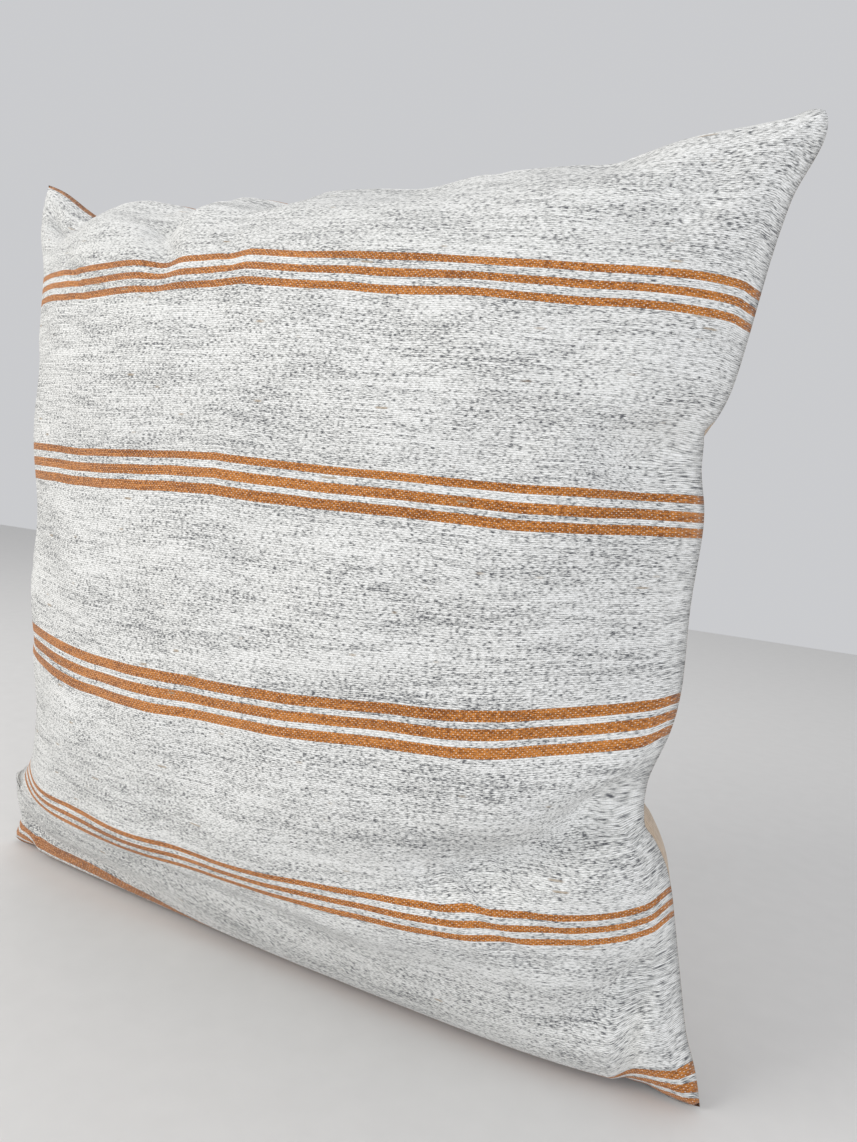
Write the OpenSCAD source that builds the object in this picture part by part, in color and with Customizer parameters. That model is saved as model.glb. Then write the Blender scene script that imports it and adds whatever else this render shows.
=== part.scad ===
// Square knife-edge throw pillow, standing on its zipped lower edge.
// +X runs along the lower edge to the right, -Y is the striped front, +Z is up.
// The seam plane is y = 0, and the origin is on the surface it stands on, under its middle.

/* [Cover] */
// Width from ear to ear
cover_w = 496; // [420:1:640]
// Height of the upper ears over the surface it stands on
cover_h = 472; // [390:1:620]
// Depth through the crown
cover_d = 190; // [110:1:220]
// How far each side seam pulls in between its ears
side_dip = 30; // [10:1:45]
// How far the top seam dips between its ears
top_dip = 22; // [8:1:40]
// Thickness of the woven front cloth
front_cloth_t = 1.4; // [0.8:0.1:2]
// Thickness of the plain back cloth
back_cloth_t = 0.9; // [0.5:0.1:1.6]
// Width of the seam allowance inside the closing seam
seam_allowance = 12; // [8:0.5:18]
// Thickness of the sewing thread
thread_t = 0.4; // [0.2:0.05:0.8]
// Distance of a seam's stitching from its edge
stitch_depth = 4; // [3:0.5:6]
// Width of the overlocked edge of the seam allowance
overlock_w = 5; // [3:0.5:7]

/* [Foot] */
// Half the distance between the outer edges of the two strips it stands on
foot_out = 27; // [22:0.5:40]
// Half the distance between their inner edges, across the zip's valley
foot_in = 17; // [16:0.5:20]

/* [Zip] */
// Seam from each ear tip to the end of the zip tape
ear_to_tape = 50; // [40:1:120]
// Tape past each end of the chain
tape_tail = 8; // [4:1:20]
// Width of one tape
tape_w = 12.5; // [10:0.5:14]
// Thickness of the tape
tape_t = 0.6; // [0.4:0.05:1]
// Height of the underside of the tape over the surface
tape_z = 7.9; // [7.4:0.1:10]
// Width of one coil
coil_w = 2.1; // [1.6:0.1:3]
// Height of the coil under the tape
coil_h = 2; // [1.4:0.1:2.6]
// Gap between the two tapes, where the coils mesh
chain_gap = 1; // [0.8:0.1:1.6]
// Gap between the folded lips of the two cloths
lip_gap = 9.6; // [9:0.1:12]
// Width of cloth folded back behind each lip
fold_w = 8; // [5:0.5:8.5]
// Distance of the zip's stitching from the edge of the lip
stitch_inset = 3.2; // [2:0.1:5]
// Length of a stop along the chain
stop_l = 2.4; // [1.5:0.1:4]

/* [Slider] */
// Length of the slider
slider_l = 9.6; // [8:0.1:14]
// Thickness of its two plates and side walls
slider_t = 0.8; // [0.5:0.05:1.2]
// Width of the bail that holds the pull tab
bail_w = 2.2; // [1.5:0.1:3]
// Length of the bail
bail_l = 6.4; // [5:0.1:8]
// Height of the space under the bail
bail_gap = 1.7; // [1.4:0.1:2]

/* [Pull tab] */
// Length of the tab past its hinge
tab_l = 24; // [16:0.5:34]
// Width of the tab
tab_w = 5.6; // [4.6:0.1:7]
// Thickness of the tab
tab_t = 1.2; // [0.8:0.1:1.5]
// Diameter of the hole near the tab's free end
tab_hole_d = 2; // [1:0.1:2.6]

/* [Insert] */
// Clearance between the insert and what surrounds it
insert_gap = 3; // [1.5:0.5:12]
// Thickness of the insert's cloth
insert_cloth_t = 0.6; // [0.4:0.1:1.2]
// Width of the insert's seam allowance
insert_allowance = 8; // [5:0.5:12]
// Clearance between the filling and the insert's cloth
fill_gap = 0.6; // [0.3:0.1:2]

/* [Hidden] */
$fn = 32;

// Sides: a piece's y is multiplied by one of these
FRONT = -1;
BACK = 1;

// Clearances
seam_gap = 0.15;    // from the seam plane to each cloth
touch = 0.05;       // between pieces that lie on each other
thread_gap = 0.15;  // between a seam's thread and its cloth
run = 0.3;          // between the slider and the chain it runs on

// The zip, from its middle outwards
tape_half = cover_w / 2 - ear_to_tape;
chain_half = tape_half - tape_tail;
coil_half = chain_half - stop_l - touch;
tape_in = chain_gap / 2;
coil_in = tape_in + touch;
coil_out = coil_in + coil_w;
coil_z = tape_z - touch - coil_h;
lip_in = lip_gap / 2;
fold_out = lip_in + fold_w;
lip_out = fold_out + 0.6;

// The slider and its tab, from the chain downwards
slider_w = 2 * (coil_out + run + slider_t);
plate_z = coil_z - run - slider_t;
bail_z = plate_z - bail_gap - slider_t;
hinge_z = plate_z - bail_gap / 2;
hinge_d = bail_gap - 0.4;
top_plate_z = tape_z + tape_t + run;
slider_x = coil_half - slider_l / 2;
tab_window = bail_l / 2 + 1.2;

// Shape of the stuffed cloth
side_power = 2.4;       // fullness across, towards the side seams
top_power = 2.4;        // fullness towards the top seam
low_power = 3.2;        // fullness towards the bottom, where the stuffing settles
edge_power = 0.62;      // how bluntly the cloth leaves the seam
sag = 12;               // how far the round form would reach below the surface
foot_half = tape_half + 9;      // half the length of the foot
ear_in = foot_half + 18;        // where it has narrowed to the ear's knife edge
FOOT_V = [-1, -0.992, -0.98, -0.96];
FIRST_V = -0.93;
SEAM_LIFT = 2.2;        // how many thicknesses of its cloth stand on each side of a seam
IN_FROM = 1.3;          // how many of them from its edge the inner face begins

// The grids of the cover and of the insert
COVER_N = 24;
EAR_N = 5;
INSERT_N = 18;
insert_in = seam_allowance + insert_gap;
insert_z = max(insert_in, top_plate_z + slider_t + insert_gap / 2);
insert_half_d = cover_d / 2 - max(front_cloth_t, back_cloth_t) - insert_gap;

function mix(a, b, f) = a * (1 - f) + b * f;
function smooth(f) = let (g = max(0, min(1, f))) g * g * (3 - 2 * g);
function bulge(a, power) = pow(max(0, 1 - pow(abs(a), power)), edge_power);
function crown(u, v) = bulge(u, side_power) * bulge(v, v < 0 ? low_power : top_power);

// Lines of a plain grid, closer together near the seams
function line_at(i, n) = sin(90 * (2 * i / n - 1));

// Columns of a cover cloth: even along the foot, one step to the knife edge, then closer to the tip
function column_u(i) =
    let (k = min(i, COVER_N - i), side = i < COVER_N / 2 ? -1 : 1, foot_u = 2 * foot_half / cover_w,
         ear_u = 2 * ear_in / cover_w)
    k >= EAR_N ? mix(-foot_u, foot_u, (i - EAR_N) / (COVER_N - 2 * EAR_N))
               : side * mix(ear_u, 1, sin(90 * (1 - k / (EAR_N - 1))));

// Its rows: four for the foot, then closer together near the top seam
function row_v(j) =
    let (feet = len(FOOT_V), low = asin(FIRST_V))
    j < feet ? FOOT_V[j] : sin(mix(low, 90, (j - feet) / (COVER_N - feet)));

// How much of the foot there is at x: 1 along the zip, 0 in the ears
function foot_at(x) = 1 - smooth((abs(x) - foot_half) / (ear_in - foot_half));

// Half the width it stands on, which narrows with the form above it
function foot_out_at(u) = max(foot_in + 1.5, foot_out * bulge(u, side_power));

// How much of the layers of cloth in a seam stands at u and v, for a form and a cloth thickness
function layers(u, v, half_w, half_h, t) =
    let (near = function (d) sqrt(min(1, d / (IN_FROM * t))))
    near(half_w * (1 - abs(u))) * near(half_h * (1 - abs(v)));

// A point of a round form: u and v run from -1 to 1 across and up it
function form(u, v, half_w, low, high, half_d) =
    let (top = high - top_dip * (1 - u * u))
    [u * (half_w - side_dip * (1 - v * v)), half_d * crown(u, v), mix(low, top, (v + 1) / 2)];

// Height of a lip's underside, for a cloth of thickness t
function lip_z(t) = tape_z - touch - 2 * t;

// Outer face of a cover cloth
function cover_out(u, v, j, t) =
    let (f = foot_at(u * cover_w / 2),
         seam = SEAM_LIFT * t,
         p = form(u, v, cover_w / 2, -sag * f, cover_h, cover_d / 2 - seam_gap - seam),
         q = [p.x, p.y + seam_gap + seam * layers(u, v, cover_w / 2, cover_h / 2, t), max(0, p.z)],
         foot = [[lip_in, lip_z(t)], [lip_out, lip_z(t)], [foot_in, 0], [foot_out_at(u), 0]])
    j < len(FOOT_V) ? mix(q, [q.x, foot[j][0], foot[j][1]], f) : q;

// Its inner face, which starts where it leaves the seam allowance
function cover_in(u, v, j, t) =
    let (c = IN_FROM * t,
         f = foot_at(u * cover_w / 2),
         p = form(u, v, cover_w / 2 - c, c - sag * f, cover_h - c, cover_d / 2 - seam_gap - 2 * t),
         q = [p.x, p.y + seam_gap + t, max(t, p.z)],
         foot = [[fold_out, lip_z(t) + t], [lip_out + 0.8 * t, lip_z(t) + t],
                 [foot_in + 0.8 * t, t], [max(foot_in + 1.2 * t, foot_out_at(u) - 0.4 * t), t]])
    j < len(FOOT_V) ? mix(q, [q.x, foot[j][0], foot[j][1]], f) : q;

// A seam point moved d into the pillow
function inset(p, d) =
    let (half_h = cover_h / 2)
    [p.x * (1 - d / (cover_w / 2)), p.y, half_h + (p.z - half_h) * (1 - d / half_h)];

// Outer and inner faces of an insert cloth
function insert_out(u, v) =
    let (half_w = cover_w / 2 - insert_in, half_h = (cover_h - insert_in - insert_z) / 2, t = insert_cloth_t,
         p = form(u, v, half_w, insert_z, cover_h - insert_in, insert_half_d - SEAM_LIFT * t))
    [p.x, p.y + seam_gap + SEAM_LIFT * t * layers(u, v, half_w, half_h, t), p.z];
function insert_inner(u, v) =
    let (t = insert_cloth_t, c = IN_FROM * t,
         p = form(u, v, cover_w / 2 - insert_in - c, insert_z + c, cover_h - insert_in - c, insert_half_d - 2 * t))
    [p.x, p.y + seam_gap + t, p.z];

// The points of a grid, and the indices along its edge, anticlockwise from low left
function grid_edge(n) = concat([for (i = [0 : n - 1]) [i, 0]], [for (j = [0 : n - 1]) [n, j]],
                               [for (i = [n : -1 : 1]) [i, n]], [for (j = [n : -1 : 1]) [0, j]]);
function grid_index(i, j, n) = j * (n + 1) + i;
function grid_faces(n, first) =
    [for (j = [0 : n - 1]) for (i = [0 : n - 1])
        for (face = let (a = first + grid_index(i, j, n), b = a + 1, c = b + n + 1, d = c - 1)
             [[a, b, c], [a, c, d]]) face];
function flip(faces) = [for (f = faces) [f[2], f[1], f[0]]];
function strip_faces(a, b, closed = true) =
    [for (k = [0 : len(a) - (closed ? 1 : 2)])
        for (face = let (m = (k + 1) % len(a)) [[a[k], b[k], b[m]], [a[k], b[m], a[m]]]) face];
function on_side(points, side) = [for (p = points) [p.x, side * p.y, p.z]];

// A cloth shell: an outer grid, an inner grid, and two rings round the seam allowance
module shell(side, n, outer, inner, ring_tip, ring_back) {
    edge = grid_edge(n);
    count = (n + 1) * (n + 1);
    ring = len(edge);
    points = concat(outer, inner, ring_tip, ring_back);
    outer_edge = [for (e = edge) grid_index(e[0], e[1], n)];
    inner_edge = [for (k = outer_edge) count + k];
    tip = [for (k = [0 : ring - 1]) 2 * count + k];
    back = [for (k = [0 : ring - 1]) 2 * count + ring + k];
    faces = concat(grid_faces(n, 0), flip(grid_faces(n, count)), strip_faces(outer_edge, tip),
                   strip_faces(tip, back), strip_faces(back, inner_edge));
    polyhedron(on_side(points, side), side == FRONT ? flip(faces) : faces);
}

// A cover cloth with its seam allowance, folded back into a lip along the zip
module cover_cloth(side, t) {
    n = COVER_N;
    function at(i, j, inner) =
        let (u = column_u(i), v = row_v(j)) inner ? cover_in(u, v, j, t) : cover_out(u, v, j, t);
    outer = [for (j = [0 : n]) for (i = [0 : n]) at(i, j, false)];
    inner = [for (j = [0 : n]) for (i = [0 : n]) at(i, j, true)];
    fold_z = lip_z(t) + 2 * t;
    function fold(e) = e[1] == 0 ? foot_at(column_u(e[0]) * cover_w / 2) : 0;
    function tip(e) =
        let (p = at(e[0], e[1], false), q = inset(p, seam_allowance)) mix(q, [p.x, lip_in, fold_z], fold(e));
    function back(e) =
        let (p = at(e[0], e[1], false), q = inset(p, seam_allowance))
        mix([q.x, q.y + t, q.z], [p.x, fold_out, fold_z], fold(e));
    shell(side, n, outer, inner, [for (e = grid_edge(n)) tip(e)], [for (e = grid_edge(n)) back(e)]);
}

module insert_cloth(side) {
    n = INSERT_N;
    t = insert_cloth_t;
    outer = [for (j = [0 : n]) for (i = [0 : n]) insert_out(line_at(i, n), line_at(j, n))];
    inner = [for (j = [0 : n]) for (i = [0 : n]) insert_inner(line_at(i, n), line_at(j, n))];
    tip = [for (e = grid_edge(n)) inset(outer[grid_index(e[0], e[1], n)], insert_allowance)];
    shell(side, n, outer, inner, tip, [for (p = tip) [p.x, p.y + t, p.z]]);
}

// A thin band along a seam: the profile's points are [depth into the pillow, y], out along its
// first half and back along its second
module seam_band(path, profile, closed) {
    size = len(profile);
    rings = len(path);
    points = [for (p = path) for (q = profile) let (r = inset(p, q[0])) [r.x, q[1], r.z]];
    sides = [for (k = [0 : rings - (closed ? 1 : 2)]) for (m = [0 : size - 1])
        let (a = k * size, b = ((k + 1) % rings) * size, next = (m + 1) % size)
        for (face = [[a + m, a + next, b + next], [a + m, b + next, b + m]]) face];
    cap = [for (m = [0 : size / 2 - 2]) [m, m + 1, size - 2 - m, size - 1 - m]];
    start = [for (q = cap) [q[3], q[2], q[1], q[0]]];
    end = [for (q = cap) [for (m = q) (rings - 1) * size + m]];
    polyhedron(points, closed ? sides : concat(sides, start, end));
}

function box_profile(d, y, size) = [[d, y], [d + size, y], [d + size, y + size], [d, y + size]];

// Is a place on a grid's edge one of its corners? A row of stitches cuts across there
function is_tip(e, n) = (e[0] == 0 || e[0] == n) && (e[1] == 0 || e[1] == n);

// The closing seam, from the zip's right end round three sides to its left end
function seam_path(tips) =
    let (n = COVER_N, edge = grid_edge(n))
    [for (k = [0 : 4 * n - 1])
        let (e = edge[(k + n / 2) % (4 * n)], u = column_u(e[0]))
        if ((e[1] > 0 || abs(u) * cover_w / 2 > ear_in - touch) && (tips || !is_tip(e, n)))
            cover_out(u, row_v(e[1]), e[1], front_cloth_t)];

module front_panel() color([0.82, 0.81, 0.78]) cover_cloth(FRONT, front_cloth_t);

module back_panel() color([0.72, 0.64, 0.55]) cover_cloth(BACK, back_cloth_t);

// The closing lockstitch: one thread on each seam allowance, just inside the seam
module seam_needle_thread() color("ivory")
    seam_band(seam_path(false),
              box_profile(stitch_depth, -seam_gap - front_cloth_t - thread_gap - thread_t, thread_t), false);

module seam_bobbin_thread() color("ivory")
    seam_band(seam_path(false),
              box_profile(stitch_depth, seam_gap + back_cloth_t + thread_gap, thread_t), false);

// The overlock wraps both raw edges together
module overlock_thread() color("ivory") {
    front = -seam_gap - front_cloth_t - thread_gap;
    back = seam_gap + back_cloth_t + thread_gap;
    tip = seam_allowance + thread_gap;
    heel = seam_allowance - overlock_w;
    seam_band(seam_path(true),
              [[heel, front - thread_t], [tip + thread_t, front - thread_t], [tip + thread_t, back + thread_t],
               [heel, back + thread_t], [heel, back], [tip, back], [tip, front], [heel, front]], false);
}

module zip_tape(side) color("beige")
    translate([-tape_half, side > 0 ? tape_in : -tape_in - tape_w, tape_z]) cube([2 * tape_half, tape_w, tape_t]);

module zip_tape_front() zip_tape(FRONT);
module zip_tape_back() zip_tape(BACK);

// The solid that the turns of one coil fill
module zip_coil(side) color("wheat")
    translate([-coil_half, side > 0 ? coil_in : -coil_in - coil_w, coil_z]) cube([2 * coil_half, coil_w, coil_h]);

module zip_coil_front() zip_coil(FRONT);
module zip_coil_back() zip_coil(BACK);

// Needle thread under the lip and bobbin thread on the tape
module zip_stitching(side, t) color("ivory") {
    y = lip_in + stitch_inset;
    for (z = [lip_z(t) - touch - thread_t, tape_z + tape_t + touch])
        translate([-tape_half, side > 0 ? y : -y - thread_t, z]) cube([2 * tape_half, thread_t, thread_t]);
}

module zip_stitching_front() zip_stitching(FRONT, front_cloth_t);
module zip_stitching_back() zip_stitching(BACK, back_cloth_t);

// A crimp from y0 to y1, with a slot for each tape whose edge it holds
module crimp(y0, y1) {
    low = coil_z - touch;
    high = tape_z + tape_t + slider_t;
    difference() {
        translate([0, y0, low]) cube([stop_l, y1 - y0, high - low]);
        for (side = [FRONT, BACK])
            translate([-1, side > 0 ? tape_in - touch : -tape_in + touch - tape_w, tape_z - touch])
                cube([stop_l + 2, tape_w, tape_t + 2 * touch]);
    }
}

module zip_top_stops() color("silver") translate([chain_half - stop_l, 0, 0]) {
    crimp(touch, coil_out);
    crimp(-coil_out, -touch);
}

module zip_bottom_stop() color("silver") translate([-chain_half, 0, 0]) crimp(-coil_out, coil_out);

// Plan of the slider, narrower at the tail where the meshed chain leaves it
module slider_plan() {
    tail = slider_l * 0.35;
    polygon([[-slider_l / 2, -slider_w * 0.44], [-slider_l / 2 + tail, -slider_w / 2],
             [slider_l / 2, -slider_w / 2], [slider_l / 2, slider_w / 2],
             [-slider_l / 2 + tail, slider_w / 2], [-slider_l / 2, slider_w * 0.44]]);
}

module zip_slider() color("silver") translate([slider_x, 0, 0]) {
    wall_top = tape_z - run;
    // Lower plate with its two side walls
    difference() {
        translate([0, 0, plate_z]) linear_extrude(wall_top - plate_z) slider_plan();
        translate([-slider_l, -coil_out - run, plate_z + slider_t])
            cube([2 * slider_l, 2 * (coil_out + run), wall_top]);
    }
    // Upper plate inside the cover
    translate([0, 0, top_plate_z]) linear_extrude(slider_t) slider_plan();
    // Wedge that parts the coils and joins the plates
    wedge_w = chain_gap - 0.2;
    translate([slider_l / 2 - 3.4, -wedge_w / 2, plate_z + slider_t / 2])
        cube([3, wedge_w, top_plate_z - plate_z]);
    // Bail
    difference() {
        translate([-bail_l / 2, -bail_w / 2, bail_z]) cube([bail_l, bail_w, plate_z - bail_z + slider_t / 2]);
        translate([-bail_l / 2 + 1, -bail_w, bail_z + slider_t]) cube([bail_l - 2, 2 * bail_w, bail_gap]);
    }
}

module zip_pull_tab() color("silver") translate([slider_x, 0, hinge_z]) {
    arm_w = (tab_w - bail_w) / 2 - 0.4;
    end_r = tab_w / 2;
    // Bar in the bail
    rotate([90, 0, 0]) cylinder(d = hinge_d, h = tab_w - 0.4, center = true);
    // Two arms and the grip
    difference() {
        union() {
            for (y = [-tab_w / 2, tab_w / 2 - arm_w])
                translate([-tab_window - 1, y, -tab_t / 2]) cube([tab_window + 1, arm_w, tab_t]);
            translate([-tab_l + end_r, -tab_w / 2, -tab_t / 2])
                cube([tab_l - end_r - tab_window, tab_w, tab_t]);
            translate([-tab_l + end_r, 0, -tab_t / 2]) cylinder(r = end_r, h = tab_t);
        }
        translate([-tab_l + end_r, 0, -tab_t]) cylinder(d = tab_hole_d, h = 2 * tab_t);
    }
}

module insert_front_shell() color("white") insert_cloth(FRONT);

module insert_back_shell() color("white") insert_cloth(BACK);

// The insert's own lockstitch, all the way round
function insert_path() =
    let (n = INSERT_N)
    [for (e = grid_edge(n)) if (!is_tip(e, n)) insert_out(line_at(e[0], n), line_at(e[1], n))];
insert_thread_y = seam_gap + insert_cloth_t + thread_gap;

module insert_needle_thread() color("white")
    seam_band(insert_path(), box_profile(stitch_depth, -insert_thread_y - thread_t, thread_t), true);

module insert_bobbin_thread() color("white")
    seam_band(insert_path(), box_profile(stitch_depth, insert_thread_y, thread_t), true);

// Loose fibre, clear of the insert's seam allowance
module insert_filling() color("snow") {
    n = INSERT_N;
    half_w = cover_w / 2 - insert_in - insert_allowance - 2 * fill_gap;
    low = insert_z + insert_allowance + 2 * fill_gap;
    high = cover_h - insert_in - insert_allowance - 2 * fill_gap;
    half_d = insert_half_d - 2 * insert_cloth_t - 2 * fill_gap;
    rim = 1;
    half = [for (j = [0 : n]) for (i = [0 : n])
        let (p = form(line_at(i, n), line_at(j, n), half_w, low, high, half_d)) [p.x, p.y + rim, p.z]];
    edge = [for (e = grid_edge(n)) grid_index(e[0], e[1], n)];
    polyhedron(concat(on_side(half, BACK), on_side(half, FRONT)),
               concat(grid_faces(n, 0), flip(grid_faces(n, len(half))),
                      strip_faces(edge, [for (k = edge) k + len(half)])));
}

front_panel();
back_panel();
seam_needle_thread();
seam_bobbin_thread();
overlock_thread();
zip_tape_front();
zip_tape_back();
zip_coil_front();
zip_coil_back();
zip_stitching_front();
zip_stitching_back();
zip_top_stops();
zip_bottom_stop();
zip_slider();
zip_pull_tab();
insert_front_shell();
insert_back_shell();
insert_needle_thread();
insert_bobbin_thread();
insert_filling();
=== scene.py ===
"""A square knife-edge throw pillow: handwoven striped front, plain cotton back, and a fibre-filled
insert behind a zip in its lower edge.

Units are metres. X runs along the lower edge, -Y is the striped front, Z is up, and the seam plane
is y = 0. Grids of cloth are numpy arrays [row, column, xyz], with row 0 along the zip.
"""
import math

import bpy
import numpy as np
from mathutils import Matrix, Vector


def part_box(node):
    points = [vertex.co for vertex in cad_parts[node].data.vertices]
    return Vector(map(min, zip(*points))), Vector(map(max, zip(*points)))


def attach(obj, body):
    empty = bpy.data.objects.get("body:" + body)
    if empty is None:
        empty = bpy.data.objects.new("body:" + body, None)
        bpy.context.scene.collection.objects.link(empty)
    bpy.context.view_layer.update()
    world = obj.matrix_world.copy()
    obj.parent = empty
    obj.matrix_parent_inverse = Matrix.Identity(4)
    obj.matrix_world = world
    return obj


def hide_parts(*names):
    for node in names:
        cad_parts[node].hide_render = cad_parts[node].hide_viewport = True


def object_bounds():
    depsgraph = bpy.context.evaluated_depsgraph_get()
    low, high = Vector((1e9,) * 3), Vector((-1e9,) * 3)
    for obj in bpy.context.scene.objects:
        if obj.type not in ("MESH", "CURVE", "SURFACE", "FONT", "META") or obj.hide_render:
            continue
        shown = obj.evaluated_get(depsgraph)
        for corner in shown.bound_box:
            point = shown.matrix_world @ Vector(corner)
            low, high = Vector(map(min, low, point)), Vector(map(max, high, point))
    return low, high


bl_info = {
    "name": "Striped throw pillow",
    "version": (1, 0, 0),
    "blender": (4, 5, 0),
    "location": "View3D > Sidebar > Pillow",
    "description": "Builds a zipped throw pillow with its insert, cloth by cloth",
    "category": "Add Mesh",
}

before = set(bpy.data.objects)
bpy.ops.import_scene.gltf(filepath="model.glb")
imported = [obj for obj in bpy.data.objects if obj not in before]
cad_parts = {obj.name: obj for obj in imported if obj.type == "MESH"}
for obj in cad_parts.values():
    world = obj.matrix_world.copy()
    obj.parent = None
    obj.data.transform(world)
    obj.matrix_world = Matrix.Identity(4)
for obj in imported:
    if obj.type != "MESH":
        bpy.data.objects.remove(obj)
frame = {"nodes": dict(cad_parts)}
CAD_BOX = [list(corner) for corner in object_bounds()]
LOW, HIGH = (np.array(corner) for corner in CAD_BOX)
MM = 0.001

# The zip, from the CAD model
TAPE_HIGH = np.array(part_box("zip_tape_front")[1])
COIL_LOW, COIL_HIGH = (np.array(c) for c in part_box("zip_coil_back"))
TAPE_HALF = TAPE_HIGH[0]
FOOT_HALF = TAPE_HALF + 9 * MM      # the split for the zip is full width up to here
EAR_IN = FOOT_HALF + 18 * MM        # and has closed to the ear's seam here
LIP_IN = 4.8 * MM                   # half the gap between the folded lips over the zip
FOLD_OUT = 12.8 * MM                # how far the turned-in cloth reaches over the tape
SEAM_GAP = 0.15 * MM                # from the seam's middle to each cloth
THREAD = 0.0004                     # across a sewing thread
STITCH_GAP = 0.0004                 # between one stitch and the next
CORNER = 0.085                      # where a trimmed corner starts, as a part of half the cloth
# How far each corner is rounded, where 1 is a full arc
LOWER_TRIM, UPPER_LEFT_TRIM, UPPER_RIGHT_TRIM = 0.4, 0.1, 1.1
FRONT, BACK = -1, 1

# The simulated grid, and how often it is halved for the finished cloth
CELLS = 84
HALVINGS = 1
RINGS = 4                           # grid cells in a seam allowance
BESIDE_SEAM = 8                     # grid cells over which a cloth's inner face is kept off the seam
STEPS = 22                          # of the cloth simulation

# Points of the seams that don't move in the simulation, as parts across and up the flat cloth
HELD = ((1, 0.34), (1, 0.68), (0, 0.49), (0.39, 1), (0.465, 1), (0.30, 1), (0.72, 1), (0, 0.97),
        (0.04, 1), (0, 0.03))

CACHE = {}                          # the cover's grids, made once


# ---------------------------------------------------------------- small tools

def srgb(code):
    """A linear RGBA colour from an sRGB hex value."""
    parts = [int(code[k:k + 2], 16) / 255 for k in (1, 3, 5)]
    return [c / 12.92 if c <= 0.04045 else ((c + 0.055) / 1.055) ** 2.4 for c in parts] + [1.0]


def add(tree, kind, inputs=None, **settings):
    """Adds a node. An input is a value, a node whose first output is meant, or an output socket."""
    node = tree.nodes.new(kind)
    for name, value in settings.items():
        setattr(node, name, value)
    for key, value in (inputs or {}).items():
        if isinstance(value, bpy.types.Node):
            value = next(out for out in value.outputs if out.enabled)
        if isinstance(value, bpy.types.NodeSocket):
            tree.links.new(value, node.inputs[key])
        else:
            node.inputs[key].default_value = value
    return node


def smooth(f):
    f = np.clip(f, 0, 1)
    return f * f * (3 - 2 * f)


def hump(f, middle, width):
    return np.exp(-((f - middle) / width) ** 2)


def sizes():
    return bpy.context.scene.pillow_sizes


def colours():
    return bpy.context.scene.pillow_colours


def linked(name, mesh):
    piece = bpy.data.objects.new(name, mesh)
    bpy.context.scene.collection.objects.link(piece)
    return piece


def mesh_object(name, points, faces, material, uv=None):
    """A smooth-shaded object from points and faces, with a UV map in metres where points have one."""
    mesh = bpy.data.meshes.new(name)
    mesh.from_pydata(np.asarray(points).tolist(), [], faces)
    mesh.validate()
    mesh.update()
    mesh.shade_smooth()
    if uv is not None:
        corners = np.zeros(len(mesh.loops), int)
        mesh.loops.foreach_get("vertex_index", corners)
        layer = mesh.uv_layers.new(name="Cloth")
        layer.data.foreach_set("uv", np.asarray(uv)[corners].astype(np.float32).ravel())
    mesh.materials.append(material)
    return linked(name, mesh)


def declare(piece, nodes=(), body="pillow"):
    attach(piece, body)
    if nodes:
        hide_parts(*nodes)
    return piece


# ---------------------------------------------------------------- the shape of the cover

# Where the seams wave in and out of the seam plane as the cloth gathers along them:
# (place along the seam, reach, how far forward), all as parts of the seam or of sizes().seam_wave
RIGHT_WAVES = ((0.34, 0.07, 1.3), (0.47, 0.06, -0.7), (0.58, 0.05, -0.3), (0.68, 0.06, 1.0),
               (0.80, 0.05, -0.6), (0.17, 0.06, -0.7), (0.89, 0.04, 0.5))
LEFT_WAVES = ((0.28, 0.06, -0.9), (0.42, 0.06, 0.8), (0.56, 0.06, -0.8), (0.70, 0.06, 0.7),
              (0.84, 0.05, -0.6))
TOP_WAVES = ((0.13, 0.05, -0.6), (0.31, 0.04, -0.7), (0.39, 0.035, 1.2), (0.465, 0.03, -1.0),
             (0.53, 0.035, 0.6), (0.62, 0.04, -0.6), (0.71, 0.04, 0.5), (0.82, 0.05, -0.7), (0.91, 0.03, 0.4))

# How each ear's tip stands out from the square: (right or left, top or bottom, mm along x, y and z)
EARS = ((-1, 1, (-8, 5, 7)), (1, 1, (9, 0, 5)), (1, -1, (6, -2, 0)), (-1, -1, (-2, 0, 0)))

# Soft folds of the front: (start across, start up, end across, end up, half width m, depth m),
# with places as parts of the flat cloth. A negative depth is a ridge
FRONT_FOLDS = (
    (1.00, 0.345, 0.70, 0.255, 0.016, 0.0150),
    (1.00, 0.405, 0.78, 0.330, 0.020, -0.0050),
    (1.00, 0.165, 0.83, 0.075, 0.013, 0.0150),
    (1.00, 0.680, 0.90, 0.655, 0.016, 0.0085),
    (1.00, 0.745, 0.87, 0.780, 0.022, -0.0030),
    (0.385, 1.00, 0.315, 0.880, 0.014, 0.0105),
    (0.330, 0.90, 0.375, 0.790, 0.011, 0.0060),
    (0.465, 1.00, 0.500, 0.925, 0.014, 0.0045),
    (0.620, 1.00, 0.660, 0.930, 0.016, 0.0035),
    (0.820, 1.00, 0.835, 0.930, 0.015, 0.0035),
    (0.000, 0.420, 0.085, 0.440, 0.016, 0.0045),
    (0.000, 0.700, 0.080, 0.690, 0.016, 0.0045),
    (0.070, 0.060, 0.180, 0.130, 0.018, 0.0040),
    (0.060, 0.960, 0.130, 0.900, 0.018, 0.0060),
    (0.940, 0.930, 0.830, 0.860, 0.018, 0.0035),
)
BACK_FOLDS = (
    (1.00, 0.345, 0.78, 0.400, 0.017, 0.0070),
    (1.00, 0.680, 0.86, 0.700, 0.016, 0.0055),
    (0.000, 0.300, 0.130, 0.330, 0.017, 0.0060),
    (0.000, 0.560, 0.110, 0.550, 0.016, 0.0050),
    (0.310, 1.00, 0.330, 0.890, 0.015, 0.0055),
    (0.540, 1.00, 0.520, 0.910, 0.015, 0.0045),
    (0.820, 1.00, 0.790, 0.900, 0.015, 0.0045),
    (0.930, 0.070, 0.830, 0.150, 0.018, 0.0050),
    (0.070, 0.930, 0.160, 0.850, 0.018, 0.0045),
)

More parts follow.
